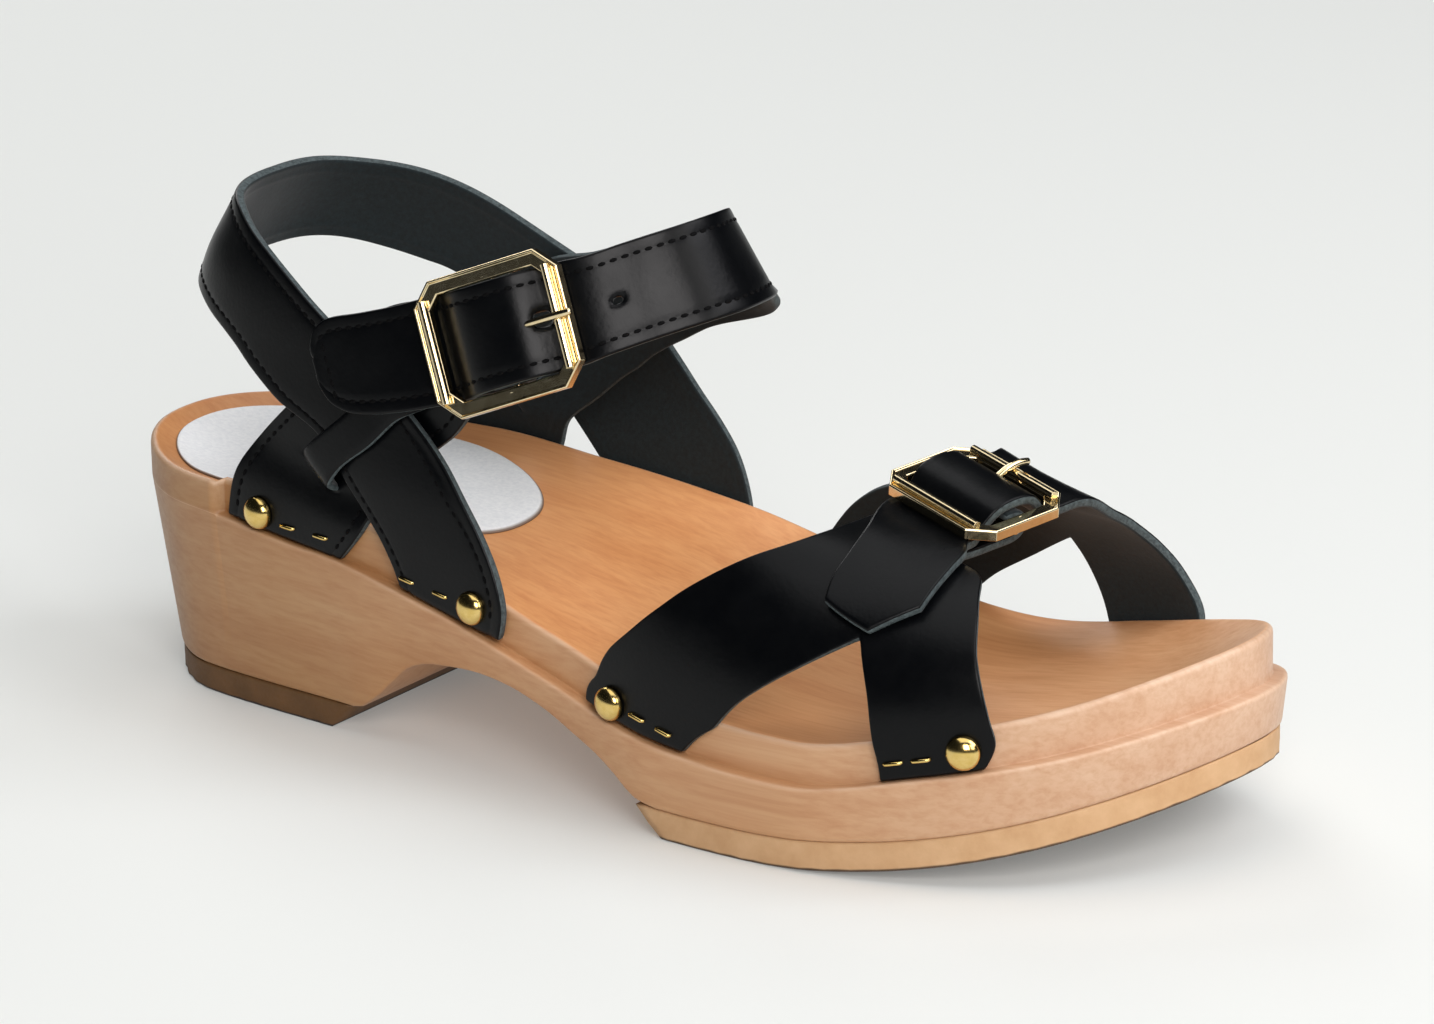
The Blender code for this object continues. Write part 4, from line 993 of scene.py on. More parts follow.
def make_sole(finish):
    """Wooden sole as one skin: underside, side with its ledge, rim and dished footbed."""
    columns = []
    lines = []
    for station, side in round_trip(HEEL_TIP, fine_stations(), TOE_TIP):
        line = side_line(station, side)
        lines.append(line)
        edge_x, edge_y = outline(station, side, line[0].x)
        axis = read(SOLE, "axis", station)
        column = [Vector((edge_x, mix(axis, edge_y, share), line[0].y)) for share in UNDER_SHARES]
        column += [Vector((*outline(station, side, inset), z)) for inset, z in line]
        column += [footbed(station, side, share) for share in FOOTBED_SHARES]
        columns.append(column)
    under, wall, bed = len(UNDER_SHARES), len(lines[0]), len(FOOTBED_SHARES)
    bm = bmesh.new()
    side_share = bm.verts.layers.float.new("side_share")
    edge_highlight_share = bm.verts.layers.float.new("edge_highlight_share")
    on_side = [1.0] * (under + wall - RIM_COLUMNS) + [0.0] * (bed + RIM_COLUMNS)
    # Columns near the rim and ledge roundings carry the share of the painted edge highlight.
    ridges = [under + ridge for ridge in EDGE_RIDGES]
    far = [min(abs(k - ridge) for ridge in ridges) for k in range(under + wall + bed)]
    edge_highlight_mask = [max(0.0, 1 - steps / EDGE_SPREAD) for steps in far]
    lay(bm, columns, [(side_share, on_side), (edge_highlight_share, edge_highlight_mask)])
    closed(bm)
    return dressed("wooden_sole", bm, [finish], ["sole"])


# Rubber slips and sock
TREAD_PITCH = 6.0
TREAD_DEPTH = 0.35
# Height share below which the slips darken toward their lowest edge, and the blend into it
LOW_EDGE_TOP = 0.12
LOW_EDGE_BLEND = 0.05
SLIP_ROUND = 0.5
SLIP_BACK_SIDES = (0.75, 0.5, 0.25, 0.0, -0.25, -0.5, -0.75)
SLIP_FLAT_SHARES = (0.0, 0.6, 1.0)
SLIP_LEVELS = table(
    "height notch",
    (0.06, 1.0), (0.12, 1.0), (0.22, 0.8), (0.36, 0.4), (0.5, 0.0), (0.9, 0.0), (1.0, 0.0),
)


def spine(station, inset):
    """Middle of a slip at a station, the same from both sides."""
    sides = [outline(station, side, inset)[0] for side in (LATERAL, MEDIAL)]
    return sum(sides) / len(sides), read(SOLE, "axis", station)


def make_slip(name, node_name, finish, columns, top, slant):
    """Rubber slip: flat faces, an upright wall, and shallow tread notches along its lower edge."""
    grid = []
    run = 0.0
    previous = None
    for station, side in columns:
        low = slant(station)
        draft = read(DRAFT, "inset", station) + SLIP_INSET
        low_draft = read(DRAFT, "inset", low) + SLIP_INSET
        here = Vector(outline(station, side, draft))
        run += (here - previous).length if previous else 0.0
        previous = here
        notch = TREAD_DEPTH * (0.5 + 0.5 * math.cos(2 * math.pi * run / TREAD_PITCH)) ** 2
        x, y = outline(low, side, low_draft + SLIP_ROUND)
        middle, axis = spine(low, low_draft + SLIP_ROUND)
        column = []
        for share in SLIP_FLAT_SHARES:
            column.append(Vector((mix(middle, x, share), mix(axis, y, share), toe_spring(low))))
        for height, share in rows_of(SLIP_LEVELS):
            at = mix(low, station, height)
            x, y = outline(at, side, mix(low_draft, draft, height) + notch * share)
            column.append(Vector((x, y, height * top + toe_spring(at))))
        middle, axis = spine(station, draft)
        for share in reversed(SLIP_FLAT_SHARES[:-1]):
            column.append(Vector((mix(middle, x, share), mix(axis, y, share), top + toe_spring(station))))
        grid.append(column)
    grid[-1] = grid[0]
    bm = bmesh.new()
    height_share = bm.verts.layers.float.new("height_share")
    flat = len(SLIP_FLAT_SHARES)
    lay(bm, grid, [(height_share, [0.0] * flat + list(SLIP_LEVELS["height"]) + [1.0] * (flat - 1))])
    closed(bm)
    return dressed(name, bm, [finish], [node_name])


def make_slips(tan, brown):
    """Forefoot outsole and heel lift, each with a slanted end toward the arch."""
    def outsole_low(x):
        share = (x - OUTSOLE_TOP_START) / (SOLE_LENGTH - OUTSOLE_TOP_START)
        return mix(OUTSOLE_BOTTOM_START, SOLE_LENGTH, share)

    def lift_low(x):
        return x * LIFT_BOTTOM_END / LIFT_TOP_END

    stations = [OUTSOLE_TOP_START] + [x for x in fine_stations() if x > OUTSOLE_TOP_START + SLIP_CLEAR]
    back = [(OUTSOLE_TOP_START, side) for side in SLIP_BACK_SIDES]
    columns = round_trip([], stations, TOE_TIP) + back + [(OUTSOLE_TOP_START, LATERAL)]
    make_slip("forefoot_outsole", "outsole", tan, columns, OUTSOLE_THICK + GAP, outsole_low)
    stations = [x for x in fine_stations() if x < LIFT_TOP_END - SLIP_CLEAR] + [LIFT_TOP_END]
    front = [(LIFT_TOP_END, -side) for side in SLIP_BACK_SIDES]
    columns = round_trip(HEEL_TIP, stations, front)
    make_slip("heel_lift_slip", "heel_lift", brown, columns, LIFT_THICK + GAP, lift_low)


SOCK_FLAT_SHARES = (1.0, 0.6, 0.0)
SOCK_TOP = table(
    "share drop",
    (0.0, 0.0), (0.15, 0.0), (0.3, 0.0), (0.45, 0.0), (0.6, 0.0), (0.72, 0.0), (0.82, 0.0), (0.9, 0.0),
    (0.95, 0.06), (0.975, 0.18), (0.988, 0.35), (1.0, 0.6),
)
SOCK_END_FINE = 26
SOCK_LIES = 0.1
SOCK_SHOWN = 0.9
# Shares toward the pad's edge where its painted edge shadow begins and where it is full
SOCK_EDGE_SHADOW = (0.985, 0.997)


def make_sock(finish):
    """Heel pad that follows the footbed, with a rounded front and a soft edge."""
    def place(station, side, share, rise):
        station = min(station, SOCK_END)
        round_end = max(0.0, (station - SOCK_END + SOCK_END_ROUND) / SOCK_END_ROUND)
        width = (1 - round_end ** SOCK_END_POWER) ** (1 / SOCK_END_POWER)
        if round_end:
            station = mix(SOCK_END - SOCK_END_ROUND, station, share)
        if side == 0 and round_end:
            width = 0.0
        return footbed(station, side, SOCK_EDGE * share * width) + Vector((0.0, 0.0, rise))

    start = SOCK_END - SOCK_END_ROUND
    stations = [x for x in fine_stations() if x < start]
    for step in range(SOCK_END_FINE):
        stations.append(start + SOCK_END_ROUND * math.sin(math.pi / 2 * step / SOCK_END_FINE))
    grid = []
    top = SOCK_LIES + SOCK_SHOWN
    for station, side in round_trip(HEEL_TIP, stations, [(SOCK_END, 0)]):
        column = [place(station, side, share, top - drop) for share, drop in rows_of(SOCK_TOP)]
        column += [place(station, side, share, SOCK_LIES) for share in SOCK_FLAT_SHARES]
        grid.append(column)
    bm = bmesh.new()
    rim_share = bm.verts.layers.float.new("rim_share")
    lay(bm, grid, [(rim_share, list(SOCK_TOP["share"]) + [1.0] * len(SOCK_FLAT_SHARES))])
    closed(bm)
    return dressed("heel_sock_pad", bm, [finish], ["heel_sock"])


# Straps
def spread(width, first, last, middle):
    """Shares across a lane: close at its finished edges, even between."""
    squeeze = min(1.0, EDGE_SQUEEZE * width / (first[-1] + last[-1] + WELD))
    head = [d * squeeze / width for d in first]
    tail = [1 - d * squeeze / width for d in reversed(last)]
    return head + [mix(head[-1], tail[0], (k + 1) / (middle + 1)) for k in range(middle)] + tail


def lane_shares(row, lanes):
    """Shares of all columns of a row, lane by lane; a lane is its start, end, edges and middle count."""
    found = []
    for start, end, first, last, middle in lanes:
        width = (row(end) - row(start)).length
        across = [mix(start, end, share) for share in spread(width, first, last, middle)]
        found.append(across)
    return found


def surface(rows, lanes):
    """Fine rows of a strap: number, and for each lane its points and ways out."""
    coarse = []
    for number, row in rows:
        across = lane_shares(row, lanes)
        flat = [share for lane in across for share in lane]
        points = [row(share) for share in flat]
        outs = [row(share, 1.0) - point for share, point in zip(flat, points)]
        coarse.append((number, points, outs))

    def tangent(i, j, layer):
        here = coarse[i][layer][j]
        if i == 0 or i == len(coarse) - 1:
            other = coarse[1 if i == 0 else i - 1][layer][j]
            span = (coarse[1 if i == 0 else i - 1][1][j] - coarse[i][1][j]).length or WELD
            return (other - here) / span * (1 if i == 0 else -1)
        before = (coarse[i][1][j] - coarse[i - 1][1][j]).length or WELD
        after = (coarse[i + 1][1][j] - coarse[i][1][j]).length or WELD
        slope_in = (here - coarse[i - 1][layer][j]) / before
        slope_out = (coarse[i + 1][layer][j] - here) / after
        return (slope_in * after + slope_out * before) / (before + after)

    fine = []
    count = len(coarse[0][1])
    for i in range(len(coarse) - 1):
        spans = [(coarse[i + 1][1][j] - coarse[i][1][j]).length for j in range(count)]
        steps = max(1, math.ceil(sum(spans) / count / ROW_PITCH))
        for step in range(steps):
            t = step / steps
            layers = []
            for layer in (1, 2):
                line = []
                for j in range(count):
                    a, b = coarse[i][layer][j], coarse[i + 1][layer][j]
                    ta, tb = tangent(i, j, layer) * spans[j], tangent(i + 1, j, layer) * spans[j]
                    line.append(
                        a * (1 + 2 * t) * (1 - t) ** 2 + b * t * t * (3 - 2 * t)
                        + ta * t * (1 - t) ** 2 + tb * t * t * (t - 1))
                layers.append(line)
            fine.append((mix(coarse[i][0], coarse[i + 1][0], t), *layers))
    fine.append(coarse[-1])
    return fine


def stitch_press(distance):
    """Depth that a stitch line presses into the leather at a distance from the edge."""
    return -STITCH_TROUGH * math.exp(-((distance - STITCH_INSET) / STITCH_TROUGH_WIDTH) ** 2)


def lane_patches(fine, lanes, bridge=None):
    """Rows of points for each lane; a bridge lane is raised, and the next lane's edge tucked under it."""
    patches = []
    first_column = 0
    for k, (start, end, first, last, middle) in enumerate(lanes):
        count = len(first) + middle + len(last)
        patch = []
        for number, points, outs in fine:
            line = points[first_column:first_column + count]
            ways = outs[first_column:first_column + count]
            moved = []
            for j in range(count):
                press = 0.0
                if first is STITCHED_EDGE and j < len(first):
                    press += stitch_press((line[j] - line[0]).length)
                if last is STITCHED_EDGE and j >= count - len(last):
                    press += stitch_press((line[j] - line[-1]).length)
                moved.append(line[j] + ways[j].normalized() * press)
            if bridge and k == BRIDGE_LANE:
                across = [mix(start, end, j / (count - 1)) for j in range(count)]
                rises = [bridge_rise(bridge, number, share) for share in across]
                if rises[0] > 0:
                    moved[0] += (moved[1] - moved[0]).normalized() * SLIT_OPEN
                if rises[-1] > 0:
                    moved[-1] += (moved[-2] - moved[-1]).normalized() * SLIT_OPEN
                moved = [point + way.normalized() * rise for point, way, rise in zip(moved, ways, rises)]
            if bridge and k == BRIDGE_LANE + 1:
                tucked = SLIT_TUCK if bridge_rise(bridge, number, start) > 0 else 0.0
                moved[0] += (moved[0] - moved[1]).normalized() * tucked
            patch.append(moved)
        patches.append(patch)
        first_column += count
    return patches


def leather_piece(name, node_name, patches, thickness, finishes, holes=()):
    """Strap of leather over welded patches, thickened away from the foot, with soft cut edges."""
    bm = bmesh.new()
    for patch in patches:
        lay(bm, patch)
    bmesh.ops.remove_doubles(bm, verts=bm.verts, dist=WELD)
    face_out(bm)
    facing = [face.normal.dot(face.calc_center_median() - INSIDE) * face.calc_area() for face in bm.faces]
    if sum(facing) < 0:
        bmesh.ops.reverse_faces(bm, faces=bm.faces)
    for axes, along, across, out in holes:
        gone = []
        for face in bm.faces:
            place = face.calc_center_median() - axes[0]
            inside = along[0] < place.dot(axes[1]) < along[1] and abs(place.dot(axes[2])) < across
            if inside and out[0] < place.dot(axes[3]) < out[1]:
                gone.append(face)
        # Faces round each hole take the black grain finish, so the hole walls show painted shade instead of
        # the grey raw edge.
        for face in {beside for face in gone for edge in face.edges for beside in edge.link_faces}:
            face.material_index = len(finishes)
        bmesh.ops.delete(bm, geom=gone, context="FACES")
    grain, _, flesh = finishes
    hole_walls_painted_shade = [grain, grain, flesh]
    piece = dressed(name, bm, finishes + hole_walls_painted_shade, [node_name])
    modify(
        piece, "thickness", "SOLIDIFY", thickness=thickness * MM, offset=1.0,
        material_offset=FLESH_SLOT, material_offset_rim=EDGE_SLOT)
    modify(piece, "soft edges", "SUBSURF", levels=1, render_levels=1)
    return piece


def stitches(bm, path):
    """Row of sunk stitches along a path of points and ways out."""
    run = STITCH_PITCH / 2
    for (a, way_a), (b, way_b) in zip(path, path[1:]):
        span = (b - a).length
        while run < span:
            t = run / span
            centre = a.lerp(b, t)
            way = (b - a).normalized()
            out = way_a.lerp(way_b, t)
            out = (out - way * out.dot(way)).normalized()
            turn = Matrix((way, out.cross(way), out)).transposed().to_4x4()
            size = Matrix.Diagonal((STITCH_LENGTH / 2, STITCH_WIDTH / 2, STITCH_HEIGHT / 2, 1.0))
            bmesh.ops.create_uvsphere(
                bm, u_segments=STITCH_SEGMENTS, v_segments=STITCH_RINGS, radius=1.0,
                matrix=Matrix.Translation(centre) @ turn @ size)
            run += STITCH_PITCH
        run -= span


def edge_line(fine, column, thickness, start, end):
    """Path of a stitch line on the outer face, along one column of a strap's fine rows."""
    path = []
    for before, (number, points, outs), after in zip(fine, fine[1:], fine[2:]):
        if start <= number <= end:
            run = after[1][column] - before[1][column]
            way = run.cross(points[column + 1] - points[column - 1]).normalized()
            way *= math.copysign(1.0, way.dot(outs[column]))
            lift = thickness + stitch_press(STITCH_INSET) + STITCH_PROUD
            path.append((points[column] + way * lift, way))
    return path


LANE = "start end first_edge last_edge middle"
QUARTER_STRAP_LANES = rows_of(table(
    LANE,
    (QUARTER_LANES[0], QUARTER_LANES[1], STITCHED_EDGE, BARE_EDGE, 1),
    (QUARTER_LANES[1], QUARTER_LANES[2], BARE_EDGE, BARE_EDGE, 4),
    (QUARTER_LANES[2], QUARTER_LANES[3], BARE_EDGE, STITCHED_EDGE, 2),
))
HEEL_LANES = rows_of(table(LANE, (0.0, 1.0, STITCHED_EDGE, STITCHED_EDGE, 7)))
STITCH_COLUMN = STITCHED_EDGE.index(STITCH_INSET)


def edge_lines(fine, thickness, start, end):
    """Stitch lines along the two edges of a strap."""
    last_column = len(fine[0][1]) - 1
    columns = (STITCH_COLUMN, last_column - STITCH_COLUMN)
    return [edge_line(fine, column, thickness, start, end) for column in columns]


def numbered(rows, start, step):
    """Rows numbered on from a start."""
    return [(start + k * step, row) for k, row in enumerate(rows)]


def ankle_rows(sections, between):
    """Numbered rows of a strap that lies on the ankle's last."""
    return [(number, ankle_row(*row)) for number, *row in smooth_rows(sections, between)]


def laid_rows(kind, sections, between, *seat):
    """Rows of one kind, read from a table, on a seat where the kind needs one."""
    return [kind(*seat, *row) for _, *row in smooth_rows(sections, between)]


def make_heel_strap(finishes, thread):
    """Band round the heel, stitched along both edges."""
    rows = ankle_rows(HEEL_STRAP, HEEL_ROWS_BETWEEN)
    fine = surface(rows, HEEL_LANES)
    leather_piece("heel_strap_leather", "heel_strap", lane_patches(fine, HEEL_LANES), LEATHER, finishes)
    for line in edge_lines(fine, LEATHER, STITCH_START, rows[-1][0] - STITCH_START):
        stitches(thread, line)


def make_quarters(finishes, thread):
    """Lateral leg folded round the buckle bar, and medial leg with the strap that goes through it."""
    rows = ankle_rows(QUARTER_LATERAL, ROWS_BETWEEN)
    top = rows[-1][0]
    tuck = tuck_rows(ANKLE_AXES, ANKLE_STRAP_WIDTH, ANKLE_TUCK, ANKLE_FOLD_BACK)
    rows += numbered(tuck, top + 1, THREAD_STEP)
    fine = surface(rows, QUARTER_STRAP_LANES)
    patches = lane_patches(fine, QUARTER_STRAP_LANES, BRIDGE_LATERAL)
    slots = [(ANKLE_AXES, *BAR_SLOT)]
    leather_piece("quarter_lateral_leather", "quarter_lateral", patches, TUCKED_LEATHER, finishes, slots)
    for line in edge_lines(fine, TUCKED_LEATHER, STITCH_START, top):
        stitches(thread, line)

    rows = ankle_rows(QUARTER_MEDIAL, ROWS_BETWEEN)
    rows += numbered([point_row(*row) for row in rows_of(INSTEP)], rows[-1][0] + 1, 1.0)
    way = laid_rows(seat_row, ANKLE_THREAD, THREAD_ROWS_BETWEEN, ANKLE_AXES)
    tip_turn = rows[-1][0] + 1 + THREAD_STEP * (len(way) - TIP_ROWS)
    rows += numbered(way, rows[-1][0] + 1, THREAD_STEP)
    fine = surface(rows, QUARTER_STRAP_LANES)
    patches = lane_patches(fine, QUARTER_STRAP_LANES, BRIDGE_MEDIAL)
    holes = [(ANKLE_AXES, *PRONG_HOLE), (ANKLE_AXES, *SPARE_HOLE)]
    leather_piece("instep_strap_leather", "quarter_medial", patches, LEATHER, finishes, holes)
    sides = edge_lines(fine, LEATHER, STITCH_START, tip_turn)
    _, points, outs = max((row for row in fine if row[0] <= tip_turn), key=lambda row: row[0])
    across = [point + out.normalized() * LEATHER for point, out in zip(points, outs)]
    between = slice(STITCH_COLUMN + 1, -STITCH_COLUMN - 1)
    stitches(thread, sides[0] + list(zip(across, outs))[between] + sides[1][::-1])


LEG_LANES = rows_of(table(LANE, (0.0, 1.0, PLAIN_EDGE, PLAIN_EDGE, 7)))
BODY_LANES = rows_of(table(
    LANE,
    (0.0, 0.5, PLAIN_EDGE, PLAIN_EDGE, 7),
    (0.5, 1.0, PLAIN_EDGE, PLAIN_EDGE, 7),
))


def front_half(name, node_name, legs, body_rows, thickness, finishes, holes):
    """Front strap half: two legs that join into one body."""
    patches = []
    rear, front = [], []
    for number, *row in smooth_rows(legs, ROWS_BETWEEN):
        rear.append((number, foot_row(*row[:4], 0.0)))
        front.append((number, foot_row(*row[4:], 0.0)))
    for leg in (rear, front):
        patches += lane_patches(surface(leg, LEG_LANES), LEG_LANES)
    patches += lane_patches(surface(numbered(body_rows, 0.0, 1.0), BODY_LANES), BODY_LANES)
    return leather_piece(name, node_name, patches, thickness, finishes, holes)


def make_front_straps(finishes):
    """Lateral half folded round the buckle bar, and medial half that runs through the buckle to its tip."""
    rows = laid_rows(bent_foot_row, FRONT_LATERAL_BODY, ROWS_BETWEEN)
    rows += tuck_rows(FRONT_AXES, FRONT_STRAP_WIDTH, FRONT_TUCK, FRONT_FOLD_BACK)
    front_half(
        "front_lateral_leather", "front_strap_lateral", FRONT_LATERAL_LEGS, rows, TUCKED_LEATHER, finishes,
        [(FRONT_AXES, *BAR_SLOT)])
    rows = laid_rows(bent_foot_row, FRONT_MEDIAL_BODY, ROWS_BETWEEN)
    rows += laid_rows(seat_row, FRONT_THREAD, THREAD_ROWS_BETWEEN, FRONT_AXES)
    rows += laid_rows(bent_foot_row, FRONT_TIP, THREAD_ROWS_BETWEEN)
    front_half(
        "front_medial_leather", "front_strap_medial", FRONT_MEDIAL_LEGS, rows, LEATHER, finishes,
        [(FRONT_AXES, *PRONG_HOLE)])


# Metal
FRAME_SECTION = rows_of(table(
    "spread height",
    (1.4, -1.4), (1.4, 0.5), (1.2, 0.75), (0.95, 0.75),
    (0.7, 0.4), (-1.4, 0.4), (-1.65, 0.15), (-1.65, -1.4),
))
FRAME_SOFT = 0.22
FRAME_SOFT_STEPS = 2
END_BAR_RADIUS = 0.85
END_BAR_INSET = 2.3
END_BAR_SHORT = 3.4
END_BAR_RISE = 1.0


def make_buckle(name, node_name, axes, long, wide, finish):
    """Cast frame with cut corners, a raised outer lip, round bars at its two ends, and a centre bar."""
    bm = bmesh.new()
    ring = []
    half = ROD / 2
    for spread_out, height in FRAME_SECTION + FRAME_SECTION[:1]:
        a = long / 2 - half + spread_out
        w = wide / 2 - half + spread_out
        c = CORNER_CUT + spread_out * (2 - math.sqrt(2))
        corners = [
            (a, w - c), (a - c, w), (c - a, w), (-a, w - c),
            (-a, c - w), (c - a, -w), (a - c, -w), (a, c - w)]
        if ring:
            edges = [edge for edge in bm.edges if all(vert in ring for vert in edge.verts)]
            drawn = bmesh.ops.extrude_edge_only(bm, edges=edges)["geom"]
            ring = [edge.other_vert(vert) for vert in ring for edge in vert.link_edges
                    if edge.other_vert(vert) in drawn]
        else:
            made = bmesh.ops.create_circle(bm, segments=len(corners), radius=1.0)["verts"]
            ring = sorted(made, key=lambda vert: math.atan2(vert.co.y, vert.co.x) % (2 * math.pi))
        for vert, (along, across) in zip(ring, corners):
            vert.co = on_seat(axes, along, across, FRAME_LIFT + height)
    closed(bm)
    end = wide / 2 - half
    knee = end - BAR_KNEE
    bar = [(-end, FRAME_LIFT), (-knee, BAR_LIFT), (knee, BAR_LIFT), (end, FRAME_LIFT)]
    rod(bm, [on_seat(axes, 0.0, across, out) for across, out in bar], BAR_RADIUS, BAR_SIDES, axes[1])
    reach = wide / 2 - END_BAR_SHORT
    for along in (END_BAR_INSET - long / 2, long / 2 - END_BAR_INSET):
        ends = [on_seat(axes, along, across, FRAME_LIFT + END_BAR_RISE) for across in (-reach, reach)]
        rod(bm, ends, END_BAR_RADIUS, BAR_SIDES, axes[1])
    face_out(bm)
    piece = dressed(name, bm, [finish], [node_name])
    modify(
        piece, "soft edges", "BEVEL", width=FRAME_SOFT * MM, segments=FRAME_SOFT_STEPS,
        limit_method="ANGLE", harden_normals=True)
    return piece


def make_prong(name, node_name, axes, shank, finish):
    """Prong bent from wire, with an eye round the bar and a shank that rests on the frame."""
    path = []
    for step in range(EYE_STEPS + 1):
        turn = math.radians(mix(EYE_START, EYE_END, step / EYE_STEPS))
        path.append((-EYE_RADIUS * math.cos(turn), BAR_LIFT + EYE_RADIUS * math.sin(turn)))
    path += shank
    fine = [row[1:] for row in smooth_rows(table("along out", *path), PRONG_ROWS_BETWEEN)]
    bm = bmesh.new()
    rod(bm, [on_seat(axes, along, 0.0, out) for along, out in fine], PRONG_RADIUS, PRONG_SIDES, axes[2])
    face_out(bm)
    return dressed(name, bm, [finish], [node_name])


def make_nails(finish):
    """Domed nail heads, each with a low skirt down to the leather."""
    bm = bmesh.new()
    lift = LEATHER + NAIL_GAP
    places = [(on_ankle(*place, lift), outward(ankle_point, *place)) for _, *place in QUARTER_NAILS]
    places += [(on_foot(*place, lift), outward(foot_point, *place)) for _, *place in FRONT_NAILS]
    for seat, way in places:
        head = bmesh.new()
        bmesh.ops.create_uvsphere(head, u_segments=NAIL_SEGMENTS, v_segments=NAIL_RINGS, radius=1.0)
        whole = head.verts[:] + head.edges[:] + head.faces[:]
        bmesh.ops.bisect_plane(
            head, geom=whole, dist=WELD, plane_co=(0, 0, 0), plane_no=(0, 0, 1), clear_inner=True)
        bmesh.ops.scale(head, vec=(NAIL_WIDTH / 2, NAIL_WIDTH / 2, NAIL_HEIGHT), verts=head.verts)
        edges = [edge for edge in head.edges if edge.is_boundary]
        skirt = bmesh.ops.extrude_edge_only(head, edges=edges)
        low = [item for item in skirt["geom"] if isinstance(item, bmesh.types.BMVert)]
        bmesh.ops.translate(head, vec=(0, 0, -NAIL_SKIRT), verts=low)
        bmesh.ops.edgeloop_fill(head, edges=[edge for edge in head.edges if edge.is_boundary])
        turn = way.to_track_quat("Z", "Y").to_matrix().to_4x4()
        bmesh.ops.transform(head, matrix=Matrix.Translation(seat) @ turn, verts=head.verts)
        face_out(head)
        mesh = mesh_of("nail head", head)
        bm.from_mesh(mesh)
        bpy.data.meshes.remove(mesh)
    names = [name for name, *_ in QUARTER_NAILS + FRONT_NAILS]
    return dressed("domed_nails", bm, [finish], names)


def make_staples(finish):
    """Wire staples, two in a line beside each nail, their ends bent into the leather."""
    bm = bmesh.new()
    half = STAPLE_LENGTH / 2
    shoulder = half * STAPLE_SHOULDER
    bend = (
        (-half, -STAPLE_LEG), (-half, 0.0), (-shoulder, STAPLE_RISE),
        (shoulder, STAPLE_RISE), (half, 0.0), (half, -STAPLE_LEG))
    lasts = ((ANKLE_STAPLES, on_ankle, ankle_point), (FOOT_STAPLES, on_foot, foot_point))
    for places, last, point in lasts:
        for first, second in zip(places[::2], places[1::2]):
            way = (last(*second, LEATHER) - last(*first, LEATHER)).normalized()
            for place in (first, second):
                centre, out = last(*place, LEATHER), outward(point, *place)
                side = out.cross(way).normalized()
                path = [centre + way * along + out * rise for along, rise in bend]
                rod(bm, path, STAPLE_RADIUS, STAPLE_SIDES, side)
    face_out(bm)
    return dressed("wire_staples", bm, [finish], [])


# Studio
CAMERA_PLACE = Vector((0.67579, -0.95558, 0.41641))
CAMERA_AIM = Vector((0.00592, 0.00490, 0.04699))
CAMERA_ROLL = -1.1744
CAMERA_LENS = 161.81
CAMERA_SENSOR = 36.0
CAMERA_CLIP = (0.01, 50.0)
FLOOR_SIZE = 6.0
PAPER_GLOW = 0.2
LIGHTS = table(
    "name place aim size watts colour",
    ("top softbox", (0.1, 0.1, 1.6), (0.0, 0.0, 0.0), 1.8, 14.0, "#FFFFFF"),
    ("key softbox", (0.98, -1.06, 0.82), (0.0, -0.02, 0.09), 0.7, 15.0, "#FFFBFA"),
    ("right softbox", (1.45, -0.2, 0.8), (0.05, 0.0, 0.05), 0.7, 5.0, "#FFFCF9"),
    ("high right softbox", (1.0, 0.4, 1.05), (0.02, 0.0, 0.08), 0.8, 8.0, "#FCFBFF"),
    ("rear left softbox", (-1.0, 0.7, 0.9), (-0.08, 0.0, 0.05), 0.7, 5.5, "#FFFFFF"),
)


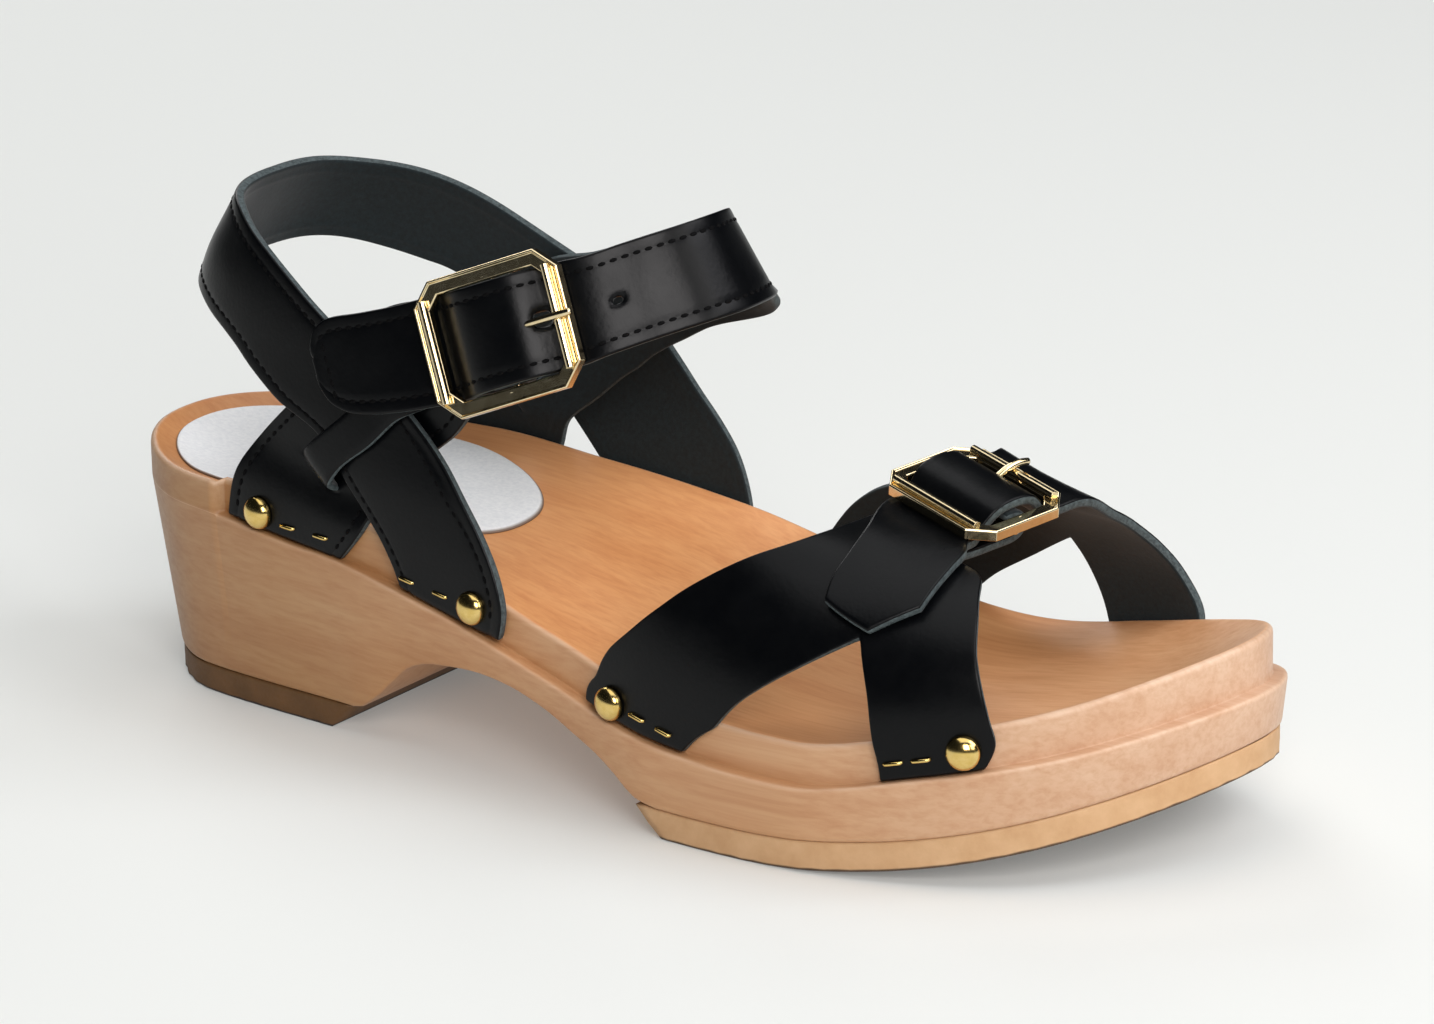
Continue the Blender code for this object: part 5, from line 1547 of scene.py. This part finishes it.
def make_studio():
    """Camera, softboxes, dim surroundings and a pale paper floor."""
    lens = bpy.data.cameras.new("camera")
    lens.sensor_width = CAMERA_SENSOR
    lens.lens = CAMERA_LENS
    lens.clip_start, lens.clip_end = CAMERA_CLIP
    camera = placed("camera", lens)
    camera.location = CAMERA_PLACE
    aim = (CAMERA_AIM - CAMERA_PLACE).to_track_quat("-Z", "Y").to_matrix().to_4x4()
    camera.rotation_euler = (aim @ Matrix.Rotation(math.radians(CAMERA_ROLL), 4, "Z")).to_euler()
    bpy.context.scene.camera = camera

    for name, place, aim, size, watts, code in rows_of(LIGHTS):
        lamp = bpy.data.lights.new(name, "AREA")
        lamp.shape = "SQUARE"
        lamp.size = size
        lamp.energy = watts
        lamp.color = linear(code)[:3]
        box = placed(name, lamp)
        box.location = place
        box.rotation_euler = (Vector(aim) - Vector(place)).to_track_quat("-Z", "Y").to_euler()

    world = bpy.data.worlds.new("studio")
    bpy.context.scene.world = world
    world.use_nodes = True
    place = node(world, "TexCoord", {}, out="Generated")
    height = node(world, "SeparateXYZ", {"Vector": place}, out="Z")
    tone = node(world, "ValToRGB", {"Fac": height}, stops=(
        (0.0, "#4A4C4C"), (0.08, "#323437"), (0.3, "#17191C")))
    world.node_tree.links.new(tone, world.node_tree.nodes["Background"].inputs["Color"])

    bm = bmesh.new()
    bmesh.ops.create_grid(bm, x_segments=1, y_segments=1, size=FLOOR_SIZE)
    floor = placed("floor", mesh_of("floor", bm))
    paper, _ = new_finish(
        "pale_paper", Roughness=0.9, Specular_IOR_Level=0.1, Base_Color=linear("#D5D7D4"),
        Emission_Color=linear("#E9EBEA"), Emission_Strength=PAPER_GLOW)
    floor.data.materials.append(paper)
    bpy.context.scene.view_settings.view_transform = "Standard"


wood = alder_wood()
hide = [black_leather(), cut_edge(), flesh_side()]
gold = plated_metal("pale_gold_plate", "#E2CDA0", "#F0DFB8", 0.14)
brass = plated_metal("polished_brass", "#D9B867", "#E8CC85", 0.17)
make_studio()
make_sole(wood)
make_slips(
    crepe_rubber("tan_crepe", "#C69B6F", "#D6AE83", "#5A4430"),
    crepe_rubber("brown_lift", "#604220", "#714E29", "#291D12"))
make_sock(pale_sock())
thread = bmesh.new()
make_heel_strap(hide, thread)
make_quarters(hide, thread)
dressed("strap_stitches", thread, [waxed_thread()], [])
make_front_straps(hide)
make_buckle("ankle_buckle_frame", "ankle_buckle", ANKLE_AXES, ANKLE_FRAME_ALONG, ANKLE_FRAME_ACROSS, gold)
make_prong("ankle_buckle_prong", "ankle_prong", ANKLE_AXES, list(ANKLE_PRONG), gold)
make_buckle("front_buckle_frame", "front_buckle", FRONT_AXES, FRONT_FRAME_ALONG, FRONT_FRAME_ACROSS, gold)
make_prong("front_buckle_prong", "front_prong", FRONT_AXES, list(FRONT_PRONG), gold)
make_nails(brass)
make_staples(brass)
